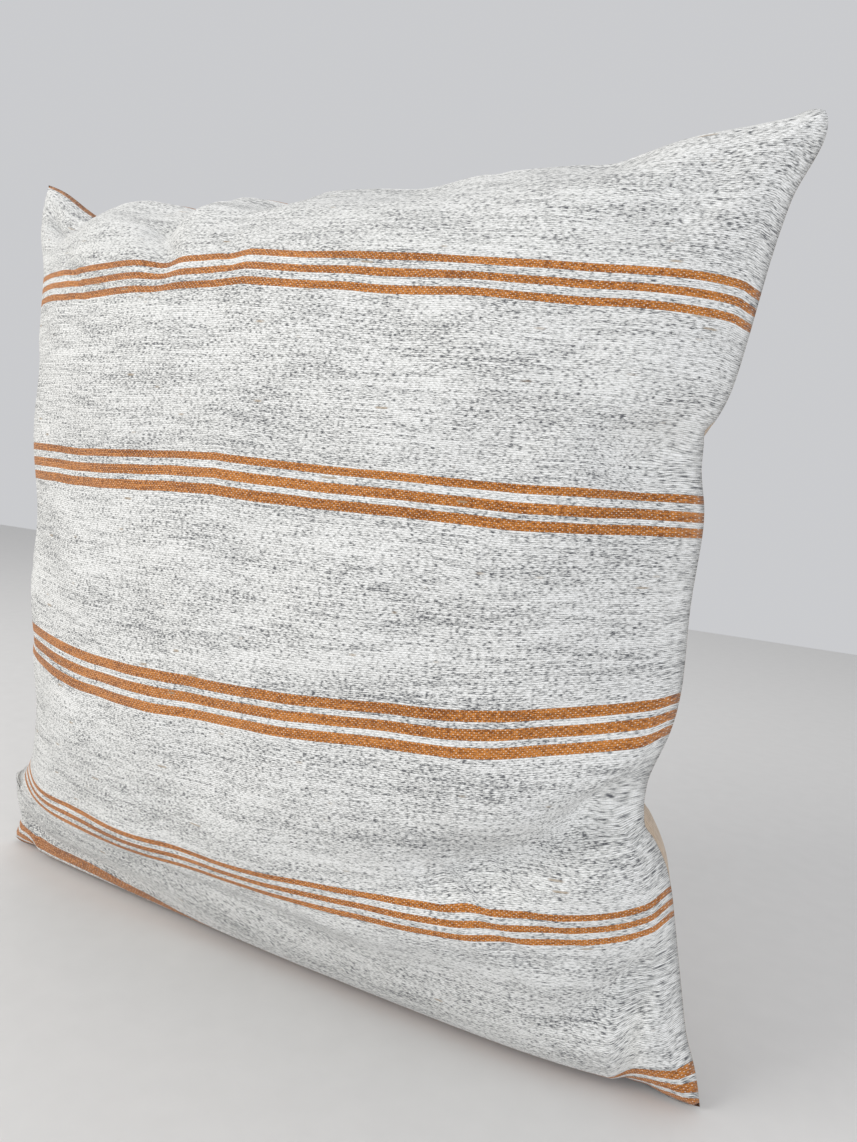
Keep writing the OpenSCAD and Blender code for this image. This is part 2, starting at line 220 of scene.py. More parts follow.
# Section of the lower edge in mm, out from the lip's fold: (distance along the cloth, y, z)
FRONT_FOOT = ((0, 4.8, 6.45), (1.6, 5.6, 5.1), (8.6, 13.0, 4.9), (13.6, 18.0, 4.2), (23.8, 27.0, 8.6),
              (35.6, 36.0, 16.5), (47.8, 44.0, 26.0), (60.0, 51.0, 36.5), (80.0, 60.5, 54.0), (112.0, 73.0,
                                                            83.0))
BACK_FOOT = ((0, 4.8, 6.95), (1.4, 5.5, 6.1), (8.6, 12.6, 5.9), (14.6, 17.0, 0.9), (19.6, 22.0, 0.0),
             (24.7, 27.0, 0.7), (35.2, 36.0, 6.2), (46.5, 44.0, 14.5), (60.0, 51.5, 25.5), (80.0, 61.0, 43.0),
             (112.0, 75.0, 71.5))
# The back's section is kept up to the first and has gone by the second; the front's are in mm, for its
# left and its right
FOOT_HOLDS, FOOT_LETS_GO = 30 * MM, 105 * MM
FRONT_FOOT_HOLDS, FRONT_FOOT_LETS_GO = (9, 30), (26, 91)


def flat_axes(cells):
    across = np.linspace(-1, 1, cells + 1)
    return np.meshgrid(across, across)


def cut_square(cells):
    """Where each grid point lies on the flat cloth, from -1 to 1: a square whose corners are trimmed
    round, the upper right most and the upper left least."""
    u, v = flat_axes(cells)
    r = CORNER
    du, dv = np.maximum(np.abs(u) - (1 - r), 0), np.maximum(np.abs(v) - (1 - r), 0)
    pull = np.where(du + dv > 0, np.maximum(du, dv) / np.maximum(np.hypot(du, dv), 1e-9), 1)
    trim = np.where(v < 0, LOWER_TRIM, np.where(u < 0, UPPER_LEFT_TRIM, UPPER_RIGHT_TRIM))
    pull = 1 + (pull - 1) * trim
    return (np.where(du > 0, np.sign(u) * (1 - r + du * pull), u),
            np.where(dv > 0, np.sign(v) * (1 - r + dv * pull), v))


def gathered(u, v):
    """How far forward the cloth is drawn by the waves of the nearest seams, and how far inwards."""
    across, up = (u + 1) / 2, (v + 1) / 2
    near = [hump(u, 1, 0.16), hump(u, -1, 0.16), hump(v, 1, 0.16)]
    ends = smooth((1 - np.abs(v)) / 0.08), smooth((1 - np.abs(u)) / 0.08)
    forward = sum(weight * end * sum(k * hump(place, at, reach) for at, reach, k in waves)
                  for weight, end, place, waves in zip(near, (ends[0], ends[0], ends[1]), (up, up, across),
                                                       (RIGHT_WAVES, LEFT_WAVES, TOP_WAVES)))
    inwards = near[0] * (2.1 * hump(up, 0.34, 0.055) + 1.2 * hump(up, 0.68, 0.04))
    downwards = near[2] * (0.6 * hump(across, 0.465, 0.04) + 0.6 * hump(across, 0.30, 0.04)
                           + 2.4 * hump(across, 0.125, 0.065))
    return forward, inwards, downwards


def first_form(u, v, side):
    """The cover before it is inflated: a crowned form between waving seams."""
    s = sizes()
    up = (v + 1) / 2
    x = u * (HIGH[0] - s.side_dip * (1 - v * v)) + s.lower_left_dip * smooth(-u) * (
        hump(up, 0.30, 0.19) + 0.35 * hump(up, 0.75, 0.2))
    z = (v + 1) / 2 * (HIGH[2] - s.top_dip * (1 - u * u))
    crown = np.clip(1 - np.abs(u) ** 3, 0, None) ** 0.52 * np.clip(1 - np.abs(v) ** 4, 0, None) ** 0.47
    y = side * s.start_depth * crown
    forward, inwards, downwards = gathered(u, v)
    y = y - s.seam_wave * forward
    for across, above, shift in EARS:
        ear = smooth((u * across - 0.84) / 0.16) * smooth((v * above - 0.84) / 0.16)
        x, y, z = (axis + ear * way * MM for axis, way in zip((x, y, z), shift))
    return np.stack([x - s.seam_wave * inwards, y, z - s.seam_wave * downwards], -1)


def in_split(u, v):
    """The part of the lower edge that the zip holds open."""
    return (v < -0.9999) & (np.abs(u) * HIGH[0] < EAR_IN - 1e-6)


def foot_share(x):
    return 1 - smooth((np.abs(x) - FOOT_HALF) / (EAR_IN - FOOT_HALF))


def inflated(cells):
    """The front and back grids after cloth simulation: two flat squares of cloth, sewn round their
    edges, under the pressure of their filling. Nothing in it is random."""
    s = sizes()
    u, v = (a.ravel() for a in flat_axes(cells))
    cut_u, cut_v = (a.ravel() for a in cut_square(cells))
    grids = {side: first_form(cut_u, cut_v, side) for side in (FRONT, BACK)}
    split = in_split(u, v)
    for side, grid in grids.items():
        grid[split, 1] = side * LIP_IN * foot_share(grid[split, 0])
        grid[split, 2] = 5.5 * MM * foot_share(grid[split, 0])
    reach = s.flat_size * s.give
    flat = {side: np.stack([cut_u * reach / 2, side * SEAM_GAP + 0 * u, (cut_v + 1) / 2 * reach], -1)
            for side in (FRONT, BACK)}
    edge = (np.abs(u) > 0.9999) | (np.abs(v) > 0.9999)
    count = len(u)
    own = np.where(~(edge & ~split))[0]
    back_index = np.arange(count)
    back_index[own] = count + np.arange(len(own))
    quads = np.array([[a, a + 1, a + cells + 2, a + cells + 1]
                      for j in range(cells) for a in range(j * (cells + 1), j * (cells + 1) + cells)])
    faces = np.concatenate([quads, back_index[quads][:, ::-1]])
    mesh = bpy.data.meshes.new("sewn_cloth")
    mesh.from_pydata(np.concatenate([grids[FRONT], grids[BACK][own]]).tolist(), [], faces.tolist())
    cloth = linked("sewn_cloth", mesh)
    cloth.shape_key_add(name="Basis")
    rest = cloth.shape_key_add(name="flat cloth")
    rest.data.foreach_set("co", np.concatenate([flat[FRONT], flat[BACK][own]]).astype(np.float32).ravel())
    rest.value = 0

    held = split | ((np.abs(u) > 0.9999) & (np.abs(v) > 0.9999))
    for across, up in HELD:
        held[np.argmin((u - 2 * across + 1) ** 2 + (v - 2 * up + 1) ** 2)] = True
    index = np.where(held)[0]
    group = cloth.vertex_groups.new(name="held")
    group.add(sorted({int(k) for k in np.concatenate([index, back_index[index]])}), 1.0, "REPLACE")

    modifier = cloth.modifiers.new("inflate", "CLOTH")
    c = modifier.settings
    c.quality = 8
    c.mass = 0.3
    c.air_damping = 2
    c.tension_stiffness = c.compression_stiffness = 40
    c.shear_stiffness = 5
    c.bending_stiffness = 0.5
    c.tension_damping = c.compression_damping = c.shear_damping = 10
    c.bending_damping = 1
    c.use_pressure = True
    c.uniform_pressure_force = s.pressure
    c.vertex_group_mass = "held"
    c.effector_weights.gravity = 0
    c.rest_shape_key = rest
    modifier.collision_settings.use_collision = False
    modifier.collision_settings.use_self_collision = False
    modifier.point_cache.frame_start, modifier.point_cache.frame_end = 1, STEPS
    for step in range(1, STEPS + 1):
        bpy.context.scene.frame_set(step)
    graph = bpy.context.evaluated_depsgraph_get()
    done = cloth.evaluated_get(graph).data
    co = np.zeros(len(done.vertices) * 3)
    done.vertices.foreach_get("co", co)
    co = co.reshape(-1, 3)
    bpy.data.objects.remove(cloth)
    bpy.data.meshes.remove(mesh)
    bpy.context.scene.frame_set(1)
    shape = (cells + 1, cells + 1, 3)
    return co[:count].reshape(shape), co[back_index].reshape(shape)


def halved(grid):
    """The grid with a point between each two, on a smooth curve through its neighbours."""
    for axis in (0, 1):
        g = np.moveaxis(grid, axis, 0)
        between = (g[:-1] + g[1:]) / 2
        between[1:-1] = (9 * (g[1:-2] + g[2:-1]) - g[:-3] - g[3:]) / 16
        out = np.empty((2 * len(g) - 1, *g.shape[1:]))
        out[::2], out[1::2] = g, between
        grid = np.moveaxis(out, 0, axis)
    return grid


def normals_of(grid):
    """Unit normals of a grid, which point out of the front for a front grid."""
    du, dv = np.gradient(grid, axis=1), np.gradient(grid, axis=0)
    n = np.cross(du, dv)
    return n / np.maximum(np.linalg.norm(n, axis=-1, keepdims=True), 1e-12)


def folded(grid, folds, side):
    """The grid with soft folds pressed in along lines on the flat cloth."""
    s = sizes()
    u, v = flat_axes(len(grid) - 1)
    place = np.stack([(u + 1) / 2, (v + 1) / 2], -1) * s.flat_size
    push = np.zeros(u.shape)
    for a, b, c, d, width, depth in folds:
        start, end = np.array([a, b]) * s.flat_size, np.array([c, d]) * s.flat_size
        along = end - start
        t = ((place - start) @ along) / (along @ along)
        off = (place - start) @ np.array([-along[1], along[0]]) / np.linalg.norm(along)
        bend = 0.006 * np.sin(math.pi * np.clip(t, 0, 1))
        fade = smooth((1.15 - t) / 0.75) * smooth((t + 0.25) / 0.25)
        spread = width * (0.75 + 0.6 * np.clip(t, 0, 1))
        push += depth * fade * np.exp(-((off - bend) / spread) ** 2)
    rim = smooth((1 - np.abs(u)) / 0.05) * smooth((1 - np.abs(v)) / 0.05)
    soft = 0.0012 * (np.sin(place[..., 0] * 61 + place[..., 1] * 23) * np.sin(place[..., 1] * 47 - 1.3)
                     + 0.6 * np.sin(place[..., 0] * 29 - place[..., 1] * 71 + 0.7))
    return grid - side_normal(grid, side) * ((push * s.fold_depth + soft) * rim)[..., None]


def side_normal(grid, side):
    return normals_of(grid) * (1 if side == FRONT else -1)


# How far the filling has carried the cloth up or down: (place up the cloth, reach, mm at the left seam,
# in the middle, at the right seam)
SETTLING = ((0.84, 0.14, 7, 23, -3), (0.62, 0.09, -3, 9, -4), (0.32, 0.19, -32, -21, -11))
# Along the left of the lower edge the cloth hangs: how much at each place across, from -1 to 1, and how
# far it is lifted in mm or tucked under as a part, each with (place up the cloth, reach)
HANGS_AT, HANGS = (-1, -0.3, 0.5, 1), (0.8, 1, 0.45, 0.05)
LIFT, LIFTED = 25, (0.115, 0.052)
TUCK, TUCKED = 0.5, (0.035, 0.032)


def settled(grid):
    """The grid with its cloth carried up or down by the filling, then lifted and tucked under along the
    left of the lower edge."""
    u, v = flat_axes(len(grid) - 1)
    up = (v + 1) / 2
    lift = sum(hump(up, place, reach) * np.interp(u, (-1, 0, 1), ends) for place, reach, *ends in SETTLING)
    out = grid.copy()
    out[..., 2] += lift * MM * smooth(up / 0.16) * smooth((1 - up) / 0.10)
    left = np.interp(u, HANGS_AT, HANGS)
    out[..., 2] += LIFT * MM * left * hump(up, *LIFTED)
    out[..., 1] *= 1 - TUCK * left * hump(up, *TUCKED)
    return out


def footed(grid, section, side):
    """The grid with its lower edge laid in the given section along the zip."""
    cells = len(grid) - 1
    step = sizes().flat_size / cells
    distance = np.arange(cells + 1) * step
    table = np.array(section) * MM
    y = np.interp(distance, table[:, 0], table[:, 1])
    z = np.interp(distance, table[:, 0], table[:, 2])
    holds, lets_go = FOOT_HOLDS, FOOT_LETS_GO
    if side == FRONT:       # the front's foot is short on the left, where the filling sits further back
        full = smooth((grid[..., 0] + 0.15) / 0.3)
        holds, lets_go = ((left + (right - left) * full) * MM
                          for left, right in (FRONT_FOOT_HOLDS, FRONT_FOOT_LETS_GO))
    share = (1 - smooth((distance[:, None] - holds) / (lets_go - holds))) * foot_share(grid[..., 0])
    taper = foot_share(grid[..., 0]) * (1 - 0.35 * np.clip(np.abs(grid[..., 0]) / FOOT_HALF, 0, 1) ** 6)
    out = grid.copy()
    out[..., 1] = grid[..., 1] * (1 - share) + side * (LIP_IN + (y[:, None] - LIP_IN) * taper) * share
    out[..., 2] = grid[..., 2] * (1 - share) + z[:, None] * share
    return out


def rim_depth(cells):
    """How many cells each point of a grid is from its edge."""
    k = np.minimum(np.arange(cells + 1), cells - np.arange(cells + 1))
    return np.minimum(k[:, None], k[None, :])


def cover_grids():
    """The finished outer faces of the two cloths and the surface midway between them."""
    if "grids" in CACHE:
        return CACHE["grids"]
    s = sizes()
    grids = list(inflated(CELLS))
    for _ in range(HALVINGS):
        grids = [halved(g) for g in grids]
    for k, (folds, section, side) in enumerate(((FRONT_FOLDS, FRONT_FOOT, FRONT), (BACK_FOLDS, BACK_FOOT,
                                                            BACK))):
        grids[k] = footed(folded(settled(grids[k]), folds, side), section, side)
    front, back = grids
    cells = len(front) - 1
    middle = (front + back) / 2
    half = (back[..., 1] - front[..., 1]) / 2
    depth = rim_depth(cells) * s.flat_size / cells
    least = SEAM_GAP + 2.2 * s.front_thickness * np.sqrt(np.clip(depth / (1.5 * s.front_thickness), 0, 1))
    half = np.maximum(half, least)
    closed = smooth(np.minimum(depth, 20 * MM) / (20 * MM))
    for grid, side in ((front, FRONT), (back, BACK)):
        grid[..., 1] = middle[..., 1] + side * half
        grid[..., 2] = np.maximum(grid[..., 2], 0)
        grid[..., 0] += (1 - closed) * (middle[..., 0] - grid[..., 0])
        apart = closed + (1 - closed) * foot_share(middle[..., 0]) * (np.arange(cells + 1) < cells / 2)[:,
                                                            None]
        grid[..., 2] += (1 - apart) * (middle[..., 2] - grid[..., 2])
    CACHE["grids"] = front, back, middle
    return CACHE["grids"]


def grid_quads(index):
    a, b, c, d = index[:-1, :-1], index[:-1, 1:], index[1:, 1:], index[1:, :-1]
    return np.stack([a, b, c, d], -1).reshape(-1, 4)


def ring_walk(cells, k):
    """Rows and columns round the grid at k cells from its edge, anticlockwise from low left."""
    a, b = k, cells - k
    row = [a] * (b - a) + list(range(a, b)) + [b] * (b - a) + list(range(b, a, -1))
    column = list(range(a, b)) + [b] * (b - a) + list(range(b, a, -1)) + [a] * (b - a)
    return np.array(row), np.array(column)


def stitched_frame(middle, side, t):
    """Points of the seam allowance's two faces: they lie on the middle surface round three sides,
    and turn back over the lip along the zip. Returns right face, wrong face."""
    right, wrong = middle.copy(), middle.copy()
    right[..., 1] += side * SEAM_GAP
    wrong[..., 1] += side * (SEAM_GAP + t)
    lip = 5.05 * MM if side == FRONT else 6.05 * MM
    for k in range(1, RINGS + 1):
        share = foot_share(middle[k, :, 0])
        y = LIP_IN + (FOLD_OUT - LIP_IN) * (0.25 + 0.75 * (k - 1) / (RINGS - 1))
        for face, z in ((right, lip + 2 * t + 0.03 * MM), (wrong, lip + t + 0.03 * MM)):
            face[k, :, 1] += (side * y - face[k, :, 1]) * share
            face[k, :, 2] += (z - face[k, :, 2]) * share
    return right, wrong


def cloth_shell(name, outer, middle, side, t, material):
    """A closed shell: the cloth, its fold at the seam and its allowance inside."""
    s = sizes()
    cells = len(outer) - 1
    right, wrong = stitched_frame(middle, side, t)
    inner = outer - side_normal(outer, side) * t
    depth = rim_depth(cells)
    room = SEAM_GAP + t * 1.05
    inner[..., 1] = np.where(depth < BESIDE_SEAM, side * np.maximum(side * (inner[..., 1] - middle[..., 1]),
                                                            room)
                             + middle[..., 1], inner[..., 1])
    low = foot_share(middle[..., 0]) > 0.5
    lip_rows = (np.arange(cells + 1)[:, None] < BESIDE_SEAM) & low
    inner[..., 1] = np.where(lip_rows, outer[..., 1], inner[..., 1])
    inner[..., 2] = np.where(lip_rows, np.maximum(outer[..., 2] + t, inner[..., 2]), inner[..., 2])
    inner[1] = np.where(low[1][:, None], wrong[1], inner[1])
    n = (cells + 1) ** 2
    index = np.arange(n).reshape(cells + 1, cells + 1)
    points = [outer.reshape(-1, 3)]
    u, v = cut_square(cells)
    uv_all = (np.stack([u + 1, v + 1], -1) * s.flat_size / 2)
    uv = [uv_all.reshape(-1, 2)]
    faces = [grid_quads(index)]
    used = n
    walks = [ring_walk(cells, k) for k in range(RINGS + 1)]
    rings = [index[walks[0]]]
    tags = []
    for face, order in ((right, range(1, RINGS + 1)), (wrong, range(RINGS, 0, -1))):
        for k in order:
            points.append(face[walks[k]])
            uv.append(uv_all[walks[k]] * [1, -1])
            rings.append(np.arange(used, used + len(walks[k][0])))
            tags.append(k)
            used += len(walks[k][0])
    levels = [0] + tags
    strips = []
    for (a, ka), (b, kb) in zip(zip(rings[:-1], levels[:-1]), zip(rings[1:], levels[1:])):
        strips += frame_faces(a, ka, b, kb, cells)
    inside = np.full(index.shape, -1)
    inside[walks[1]] = rings[-1]
    deep = depth >= 2
    inside[deep] = used + np.arange(deep.sum())
    points.append(inner[deep])
    uv.append(uv_all[deep])
    faces.append(grid_quads(inside[1:-1, 1:-1])[:, ::-1])
    faces = np.concatenate(faces).tolist() + strips
    if side == BACK:
        faces = [f[::-1] for f in faces]
    return mesh_object(name, np.concatenate(points), faces, material, np.concatenate(uv))


def frame_faces(a, ka, b, kb, cells):
    """Faces between two rings of a square frame. Where the rings differ by a cell, each corner gets
    a square, and the rings of one level join straight across."""
    if ka == kb:
        return [[int(a[m]), int(b[m]), int(b[(m + 1) % len(a)]), int(a[(m + 1) % len(a)])]
                for m in range(len(a))]
    big, small, flip = (a, b, False) if ka < kb else (b, a, True)
    w, n = cells - 2 * min(ka, kb), cells - 2 * max(ka, kb)
    out = []
    for quarter in range(4):
        for m in range(n):
            p, q = quarter * w + m + 1, quarter * n + m
            out.append([big[p % len(big)], small[q % len(small)],
                        small[(q + 1) % len(small)], big[(p + 1) % len(big)]])
        corner = quarter * w
        out.append([big[corner - 1], small[(quarter * n) % len(small)], big[(corner + 1) % len(big)],
                    big[corner]])
    out = [[int(k) for k in f] for f in out]
    return [f[::-1] for f in out] if flip else out


# ---------------------------------------------------------------- materials

def new_material(name):
    material = bpy.data.materials.new(name)
    material.use_nodes = True
    tree = material.node_tree
    tree.nodes.clear()
    return material, tree


def finish_surface(tree, shader):
    add(tree, "ShaderNodeOutputMaterial", {"Surface": shader})


def stretched(tree, x, y, across, up):
    """A place on the cloth scaled by a different amount each way, so noise there lies along a yarn."""
    across = add(tree, "ShaderNodeMath", {0: x, 1: across}, operation="MULTIPLY")
    up = add(tree, "ShaderNodeMath", {0: y, 1: up}, operation="MULTIPLY")
    return add(tree, "ShaderNodeCombineXYZ", {0: across, 1: up})


def striped_weave():
    """Handwoven plain weave: a fine ecru cotton warp, and a thicker marled cotton weft whose dark
    fibres show as short flecks. Matt, with each weft row standing up and the warp as small dots."""
    s, c = sizes(), colours()
    material, t = new_material("handwoven_marled_cotton")
    uv = add(t, "ShaderNodeUVMap", uv_map="Cloth")
    at = add(t, "ShaderNodeSeparateXYZ", {0: uv})
    drift = add(t, "ShaderNodeTexNoise", {"Vector": uv, "Scale": 9.0, "Detail": 2.0}, noise_dimensions="2D")
    # rows bow a little, as on a hand loom
    bow = add(t, "ShaderNodeMath", {0: drift.outputs[0], 1: 0.5}, operation="SUBTRACT")
    skew = add(t, "ShaderNodeMath", {0: at.outputs[0], 1: s.weft_skew}, operation="MULTIPLY")
    up = add(t, "ShaderNodeMath", {0: bow, 1: 0.005, 2: at.outputs[1]}, operation="MULTIPLY_ADD")
    up = add(t, "ShaderNodeMath", {0: up, 1: skew}, operation="SUBTRACT")
    rows = add(t, "ShaderNodeMath", {0: up, 1: s.weft_pitch}, operation="DIVIDE")
    ends = add(t, "ShaderNodeMath", {0: at.outputs[0], 1: s.warp_pitch}, operation="DIVIDE")
    row = add(t, "ShaderNodeMath", {0: rows}, operation="FLOOR")
    end = add(t, "ShaderNodeMath", {0: ends}, operation="FLOOR")
    # in a plain weave the warp is on top at every second crossing
    both = add(t, "ShaderNodeMath", {0: row, 1: end}, operation="ADD")
    odd = add(t, "ShaderNodeMath", {0: both, 1: 2.0}, operation="FLOORED_MODULO")
    fx = add(t, "ShaderNodeMath", {0: ends, 1: 1.0}, operation="FLOORED_MODULO")
    fy = add(t, "ShaderNodeMath", {0: rows, 1: 1.0}, operation="FLOORED_MODULO")
    fx = add(t, "ShaderNodeMath", {0: fx, 1: 0.5}, operation="SUBTRACT")
    fy = add(t, "ShaderNodeMath", {0: fy, 1: 0.5}, operation="SUBTRACT")
    fx2 = add(t, "ShaderNodeMath", {0: fx, 1: fx}, operation="MULTIPLY")
    fy2 = add(t, "ShaderNodeMath", {0: fy, 1: fy}, operation="MULTIPLY")
    # the warp's dot is an ellipse, half as wide as its pitch
    far = add(t, "ShaderNodeMath", {0: fx2, 1: 9.0}, operation="MULTIPLY")
    far = add(t, "ShaderNodeMath", {0: fy2, 1: 5.0, 2: far}, operation="MULTIPLY_ADD")
    dot = add(t, "ShaderNodeMath", {0: 1.0, 1: far}, operation="SUBTRACT", use_clamp=True)
    dot = add(t, "ShaderNodeMath", {0: dot, 1: odd}, operation="MULTIPLY")
    round_row = add(t, "ShaderNodeMath", {0: fy2, 1: -3.2, 2: 1.0}, operation="MULTIPLY_ADD", use_clamp=True)
    # the weft dips beside each dot
    under = add(t, "ShaderNodeMath", {0: fx2, 1: 2.0, 2: 0.45}, operation="MULTIPLY_ADD", use_clamp=True)
    weft_h = add(t, "ShaderNodeMix", {0: odd, 2: 1.0, 3: under}, data_type="FLOAT")
    weft_h = add(t, "ShaderNodeMath", {0: weft_h, 1: round_row}, operation="MULTIPLY")
    height = add(t, "ShaderNodeMath", {0: dot, 1: weft_h}, operation="MAXIMUM")

    # the marl: short flecks along each row, which come and go in long streaks
    fleck_at = stretched(t, at.outputs[0], row, 380.0, 7.31)
    fleck = add(t, "ShaderNodeTexNoise", {"Vector": fleck_at, "Scale": 1.0, "Detail": 2.0, "Roughness": 0.6},
                noise_dimensions="2D")
    streak_at = stretched(t, at.outputs[0], row, 34.0, 3.77)
    streak = add(t, "ShaderNodeTexNoise", {"Vector": streak_at, "Scale": 1.0, "Detail": 3.0,
                                           "Roughness": 0.6},
                 noise_dimensions="2D")
    cloud_at = stretched(t, at.outputs[0], at.outputs[1], 9.0, 60.0)
    cloud = add(t, "ShaderNodeTexNoise", {"Vector": cloud_at, "Scale": 1.0, "Detail": 2.0},
                noise_dimensions="2D")
    fibre_at = stretched(t, at.outputs[0], up, 420.0, 2100.0)
    fibre = add(t, "ShaderNodeTexNoise", {"Vector": fibre_at, "Scale": 1.0, "Detail": 1.0},
                noise_dimensions="2D")
    tone = add(t, "ShaderNodeMath", {0: fleck.outputs[0], 1: 0.28}, operation="MULTIPLY")
    tone = add(t, "ShaderNodeMath", {0: fibre.outputs[0], 1: 0.50, 2: tone}, operation="MULTIPLY_ADD")
    tone = add(t, "ShaderNodeMath", {0: streak.outputs[0], 1: 0.30, 2: tone}, operation="MULTIPLY_ADD")
    tone = add(t, "ShaderNodeMath", {0: cloud.outputs[0], 1: 0.14, 2: tone}, operation="MULTIPLY_ADD")
    marl = add(t, "ShaderNodeValToRGB", {0: tone})
    ramp = marl.color_ramp
    ramp.elements[0].position, ramp.elements[0].color = 0.46, srgb("#5C5D60")
    ramp.elements[1].position, ramp.elements[1].color = 0.69, list(c.light_weft) + [1]
    for place, code in ((0.52, "#9A9B9A"), (0.59, "#CFCFCB")):
        step = ramp.elements.new(place)
        step.color = srgb(code)
    # where the coloured wefts lie, group by group, whole rows at a time
    row_mid = add(t, "ShaderNodeMath", {0: row, 1: 0.5}, operation="ADD")
    row_at = add(t, "ShaderNodeMath", {0: row_mid, 1: s.weft_pitch}, operation="MULTIPLY")
    from_first = add(t, "ShaderNodeMath", {0: row_at, 1: s.first_group}, operation="SUBTRACT")
    in_group = add(t, "ShaderNodeMath", {0: from_first, 1: -s.group_pitch / 2, 2: s.group_pitch / 2},
                   operation="WRAP")
    near = add(t, "ShaderNodeMath", {0: in_group}, operation="ABSOLUTE")
    side_stripe = add(t, "ShaderNodeMath", {0: near, 1: s.stripe_pitch}, operation="SUBTRACT")
    side_stripe = add(t, "ShaderNodeMath", {0: side_stripe}, operation="ABSOLUTE")
    nearest = add(t, "ShaderNodeMath", {0: near, 1: side_stripe}, operation="MINIMUM")
    stripe = add(t, "ShaderNodeMath", {0: nearest, 1: s.stripe_width / 2}, operation="LESS_THAN")
    rust_mix = add(t, "ShaderNodeMapRange", {0: tone, 1: 0.50, 2: 0.70})
    rust = add(t, "ShaderNodeMix", {0: rust_mix, 6: list(c.rust_shadow) + [1], 7: list(c.rust) + [1]},
               data_type="RGBA")
    weft = add(t, "ShaderNodeMix", {0: stripe, 6: marl.outputs[0], 7: rust.outputs[2]}, data_type="RGBA")
    # some dots are sunk between their neighbours
    fibre_gate = add(t, "ShaderNodeMapRange", {0: fibre.outputs[0], 1: 0.40, 2: 0.58, 3: 0.15})
    # painted shade: the gaps between yarns are darkened, where the weave is low
    gap_shade = add(t, "ShaderNodeMapRange", {0: height, 1: 0.0, 2: 0.75, 3: 0.62, 4: 1.0})
    dot_edge = add(t, "ShaderNodeMapRange", {0: dot, 1: 0.3, 2: 0.75, 4: 0.62})
    dot_edge = add(t, "ShaderNodeMath", {0: dot_edge, 1: fibre_gate}, operation="MULTIPLY")
    cloth = add(t, "ShaderNodeMix", {0: dot_edge, 6: weft.outputs[2], 7: list(c.warp) + [1]},
                data_type="RGBA")
    shaded = add(t, "ShaderNodeMix", {0: 1.0, 6: cloth.outputs[2], 7: gap_shade.outputs[0]}, data_type="RGBA",
                 blend_type="MULTIPLY")
    # now and then a brown seed fleck or slub in the yarn
    seed = add(t, "ShaderNodeTexNoise", {"Vector": fleck_at, "Scale": 0.11, "Detail": 1.0},
               noise_dimensions="2D")
    brown = add(t, "ShaderNodeMapRange", {0: seed.outputs[0], 1: 0.80, 2: 0.84, 3: 0.0, 4: 0.75})
    coloured = add(t, "ShaderNodeMix", {0: brown, 6: shaded.outputs[2], 7: srgb("#9C8A72")}, data_type="RGBA")
    slub = add(t, "ShaderNodeMath", {0: streak.outputs[0], 1: 0.8, 2: height}, operation="MULTIPLY_ADD")
    bump = add(t, "ShaderNodeBump", {"Strength": 0.55, "Distance": 0.00035, "Height": slub})
    shader = add(t, "ShaderNodeBsdfPrincipled", {"Base Color": coloured.outputs[2], "Roughness": 0.92,
                 "IOR": 1.47, "Specular IOR Level": 0.25, "Sheen Weight": 0.12, "Sheen Roughness": 0.6,
                 "Normal": bump})
    finish_surface(t, shader)
    return material


def plain_weave(name, light, dark, pitch, bump_depth, roughness, fleck=0.35):
    """A balanced plain weave on the cloth's own UV map: both yarns alike, each over and under."""
    material, t = new_material(name)
    uv = add(t, "ShaderNodeUVMap", uv_map="Cloth")
    at = add(t, "ShaderNodeSeparateXYZ", {0: uv})
    waves = []
    for output in (0, 1):
        angle = add(t, "ShaderNodeMath", {0: at.outputs[output], 1: math.pi / pitch}, operation="MULTIPLY")
        waves.append(add(t, "ShaderNodeMath", {0: angle}, operation="SINE"))
    over = add(t, "ShaderNodeMath", {0: waves[0], 1: waves[1]}, operation="MULTIPLY")
    over = add(t, "ShaderNodeMath", {0: over}, operation="ABSOLUTE")
    slow = add(t, "ShaderNodeTexNoise", {"Vector": uv, "Scale": 26.0, "Detail": 3.0}, noise_dimensions="2D")
    fine_at = stretched(t, at.outputs[0], at.outputs[1], 160.0, 1300.0)
    fine = add(t, "ShaderNodeTexNoise", {"Vector": fine_at, "Scale": 1.0, "Detail": 2.0},
               noise_dimensions="2D")
    cross_at = stretched(t, at.outputs[0], at.outputs[1], 1300.0, 160.0)
    cross = add(t, "ShaderNodeTexNoise", {"Vector": cross_at, "Scale": 1.0, "Detail": 2.0},
                noise_dimensions="2D")
    yarns = add(t, "ShaderNodeMath", {0: fine.outputs[0], 1: cross.outputs[0]}, operation="ADD")
    slow = add(t, "ShaderNodeMath", {0: slow.outputs[0], 1: 0.25, 2: 0.375}, operation="MULTIPLY_ADD")
    tone = add(t, "ShaderNodeMath", {0: yarns, 1: fleck, 2: slow}, operation="MULTIPLY_ADD")
    # painted shade: the colour is darker where the weave is low between crossings, on top of the yarns' own
    # random tone
    tone = add(t, "ShaderNodeMath", {0: over, 1: 0.35, 2: tone}, operation="MULTIPLY_ADD")
    mixed = add(t, "ShaderNodeMapRange", {0: tone, 1: 0.75, 2: 1.2})
    colour = add(t, "ShaderNodeMix", {0: mixed, 6: list(dark) + [1], 7: list(light) + [1]}, data_type="RGBA")
    bump = add(t, "ShaderNodeBump", {"Strength": 0.5, "Distance": bump_depth, "Height": over})
    shader = add(t, "ShaderNodeBsdfPrincipled", {"Base Color": colour.outputs[2], "Roughness": roughness,
                 "IOR": 1.47, "Specular IOR Level": 0.3, "Sheen Weight": 0.1, "Sheen Roughness": 0.5,
                 "Normal": bump})
    finish_surface(t, shader)
    return material


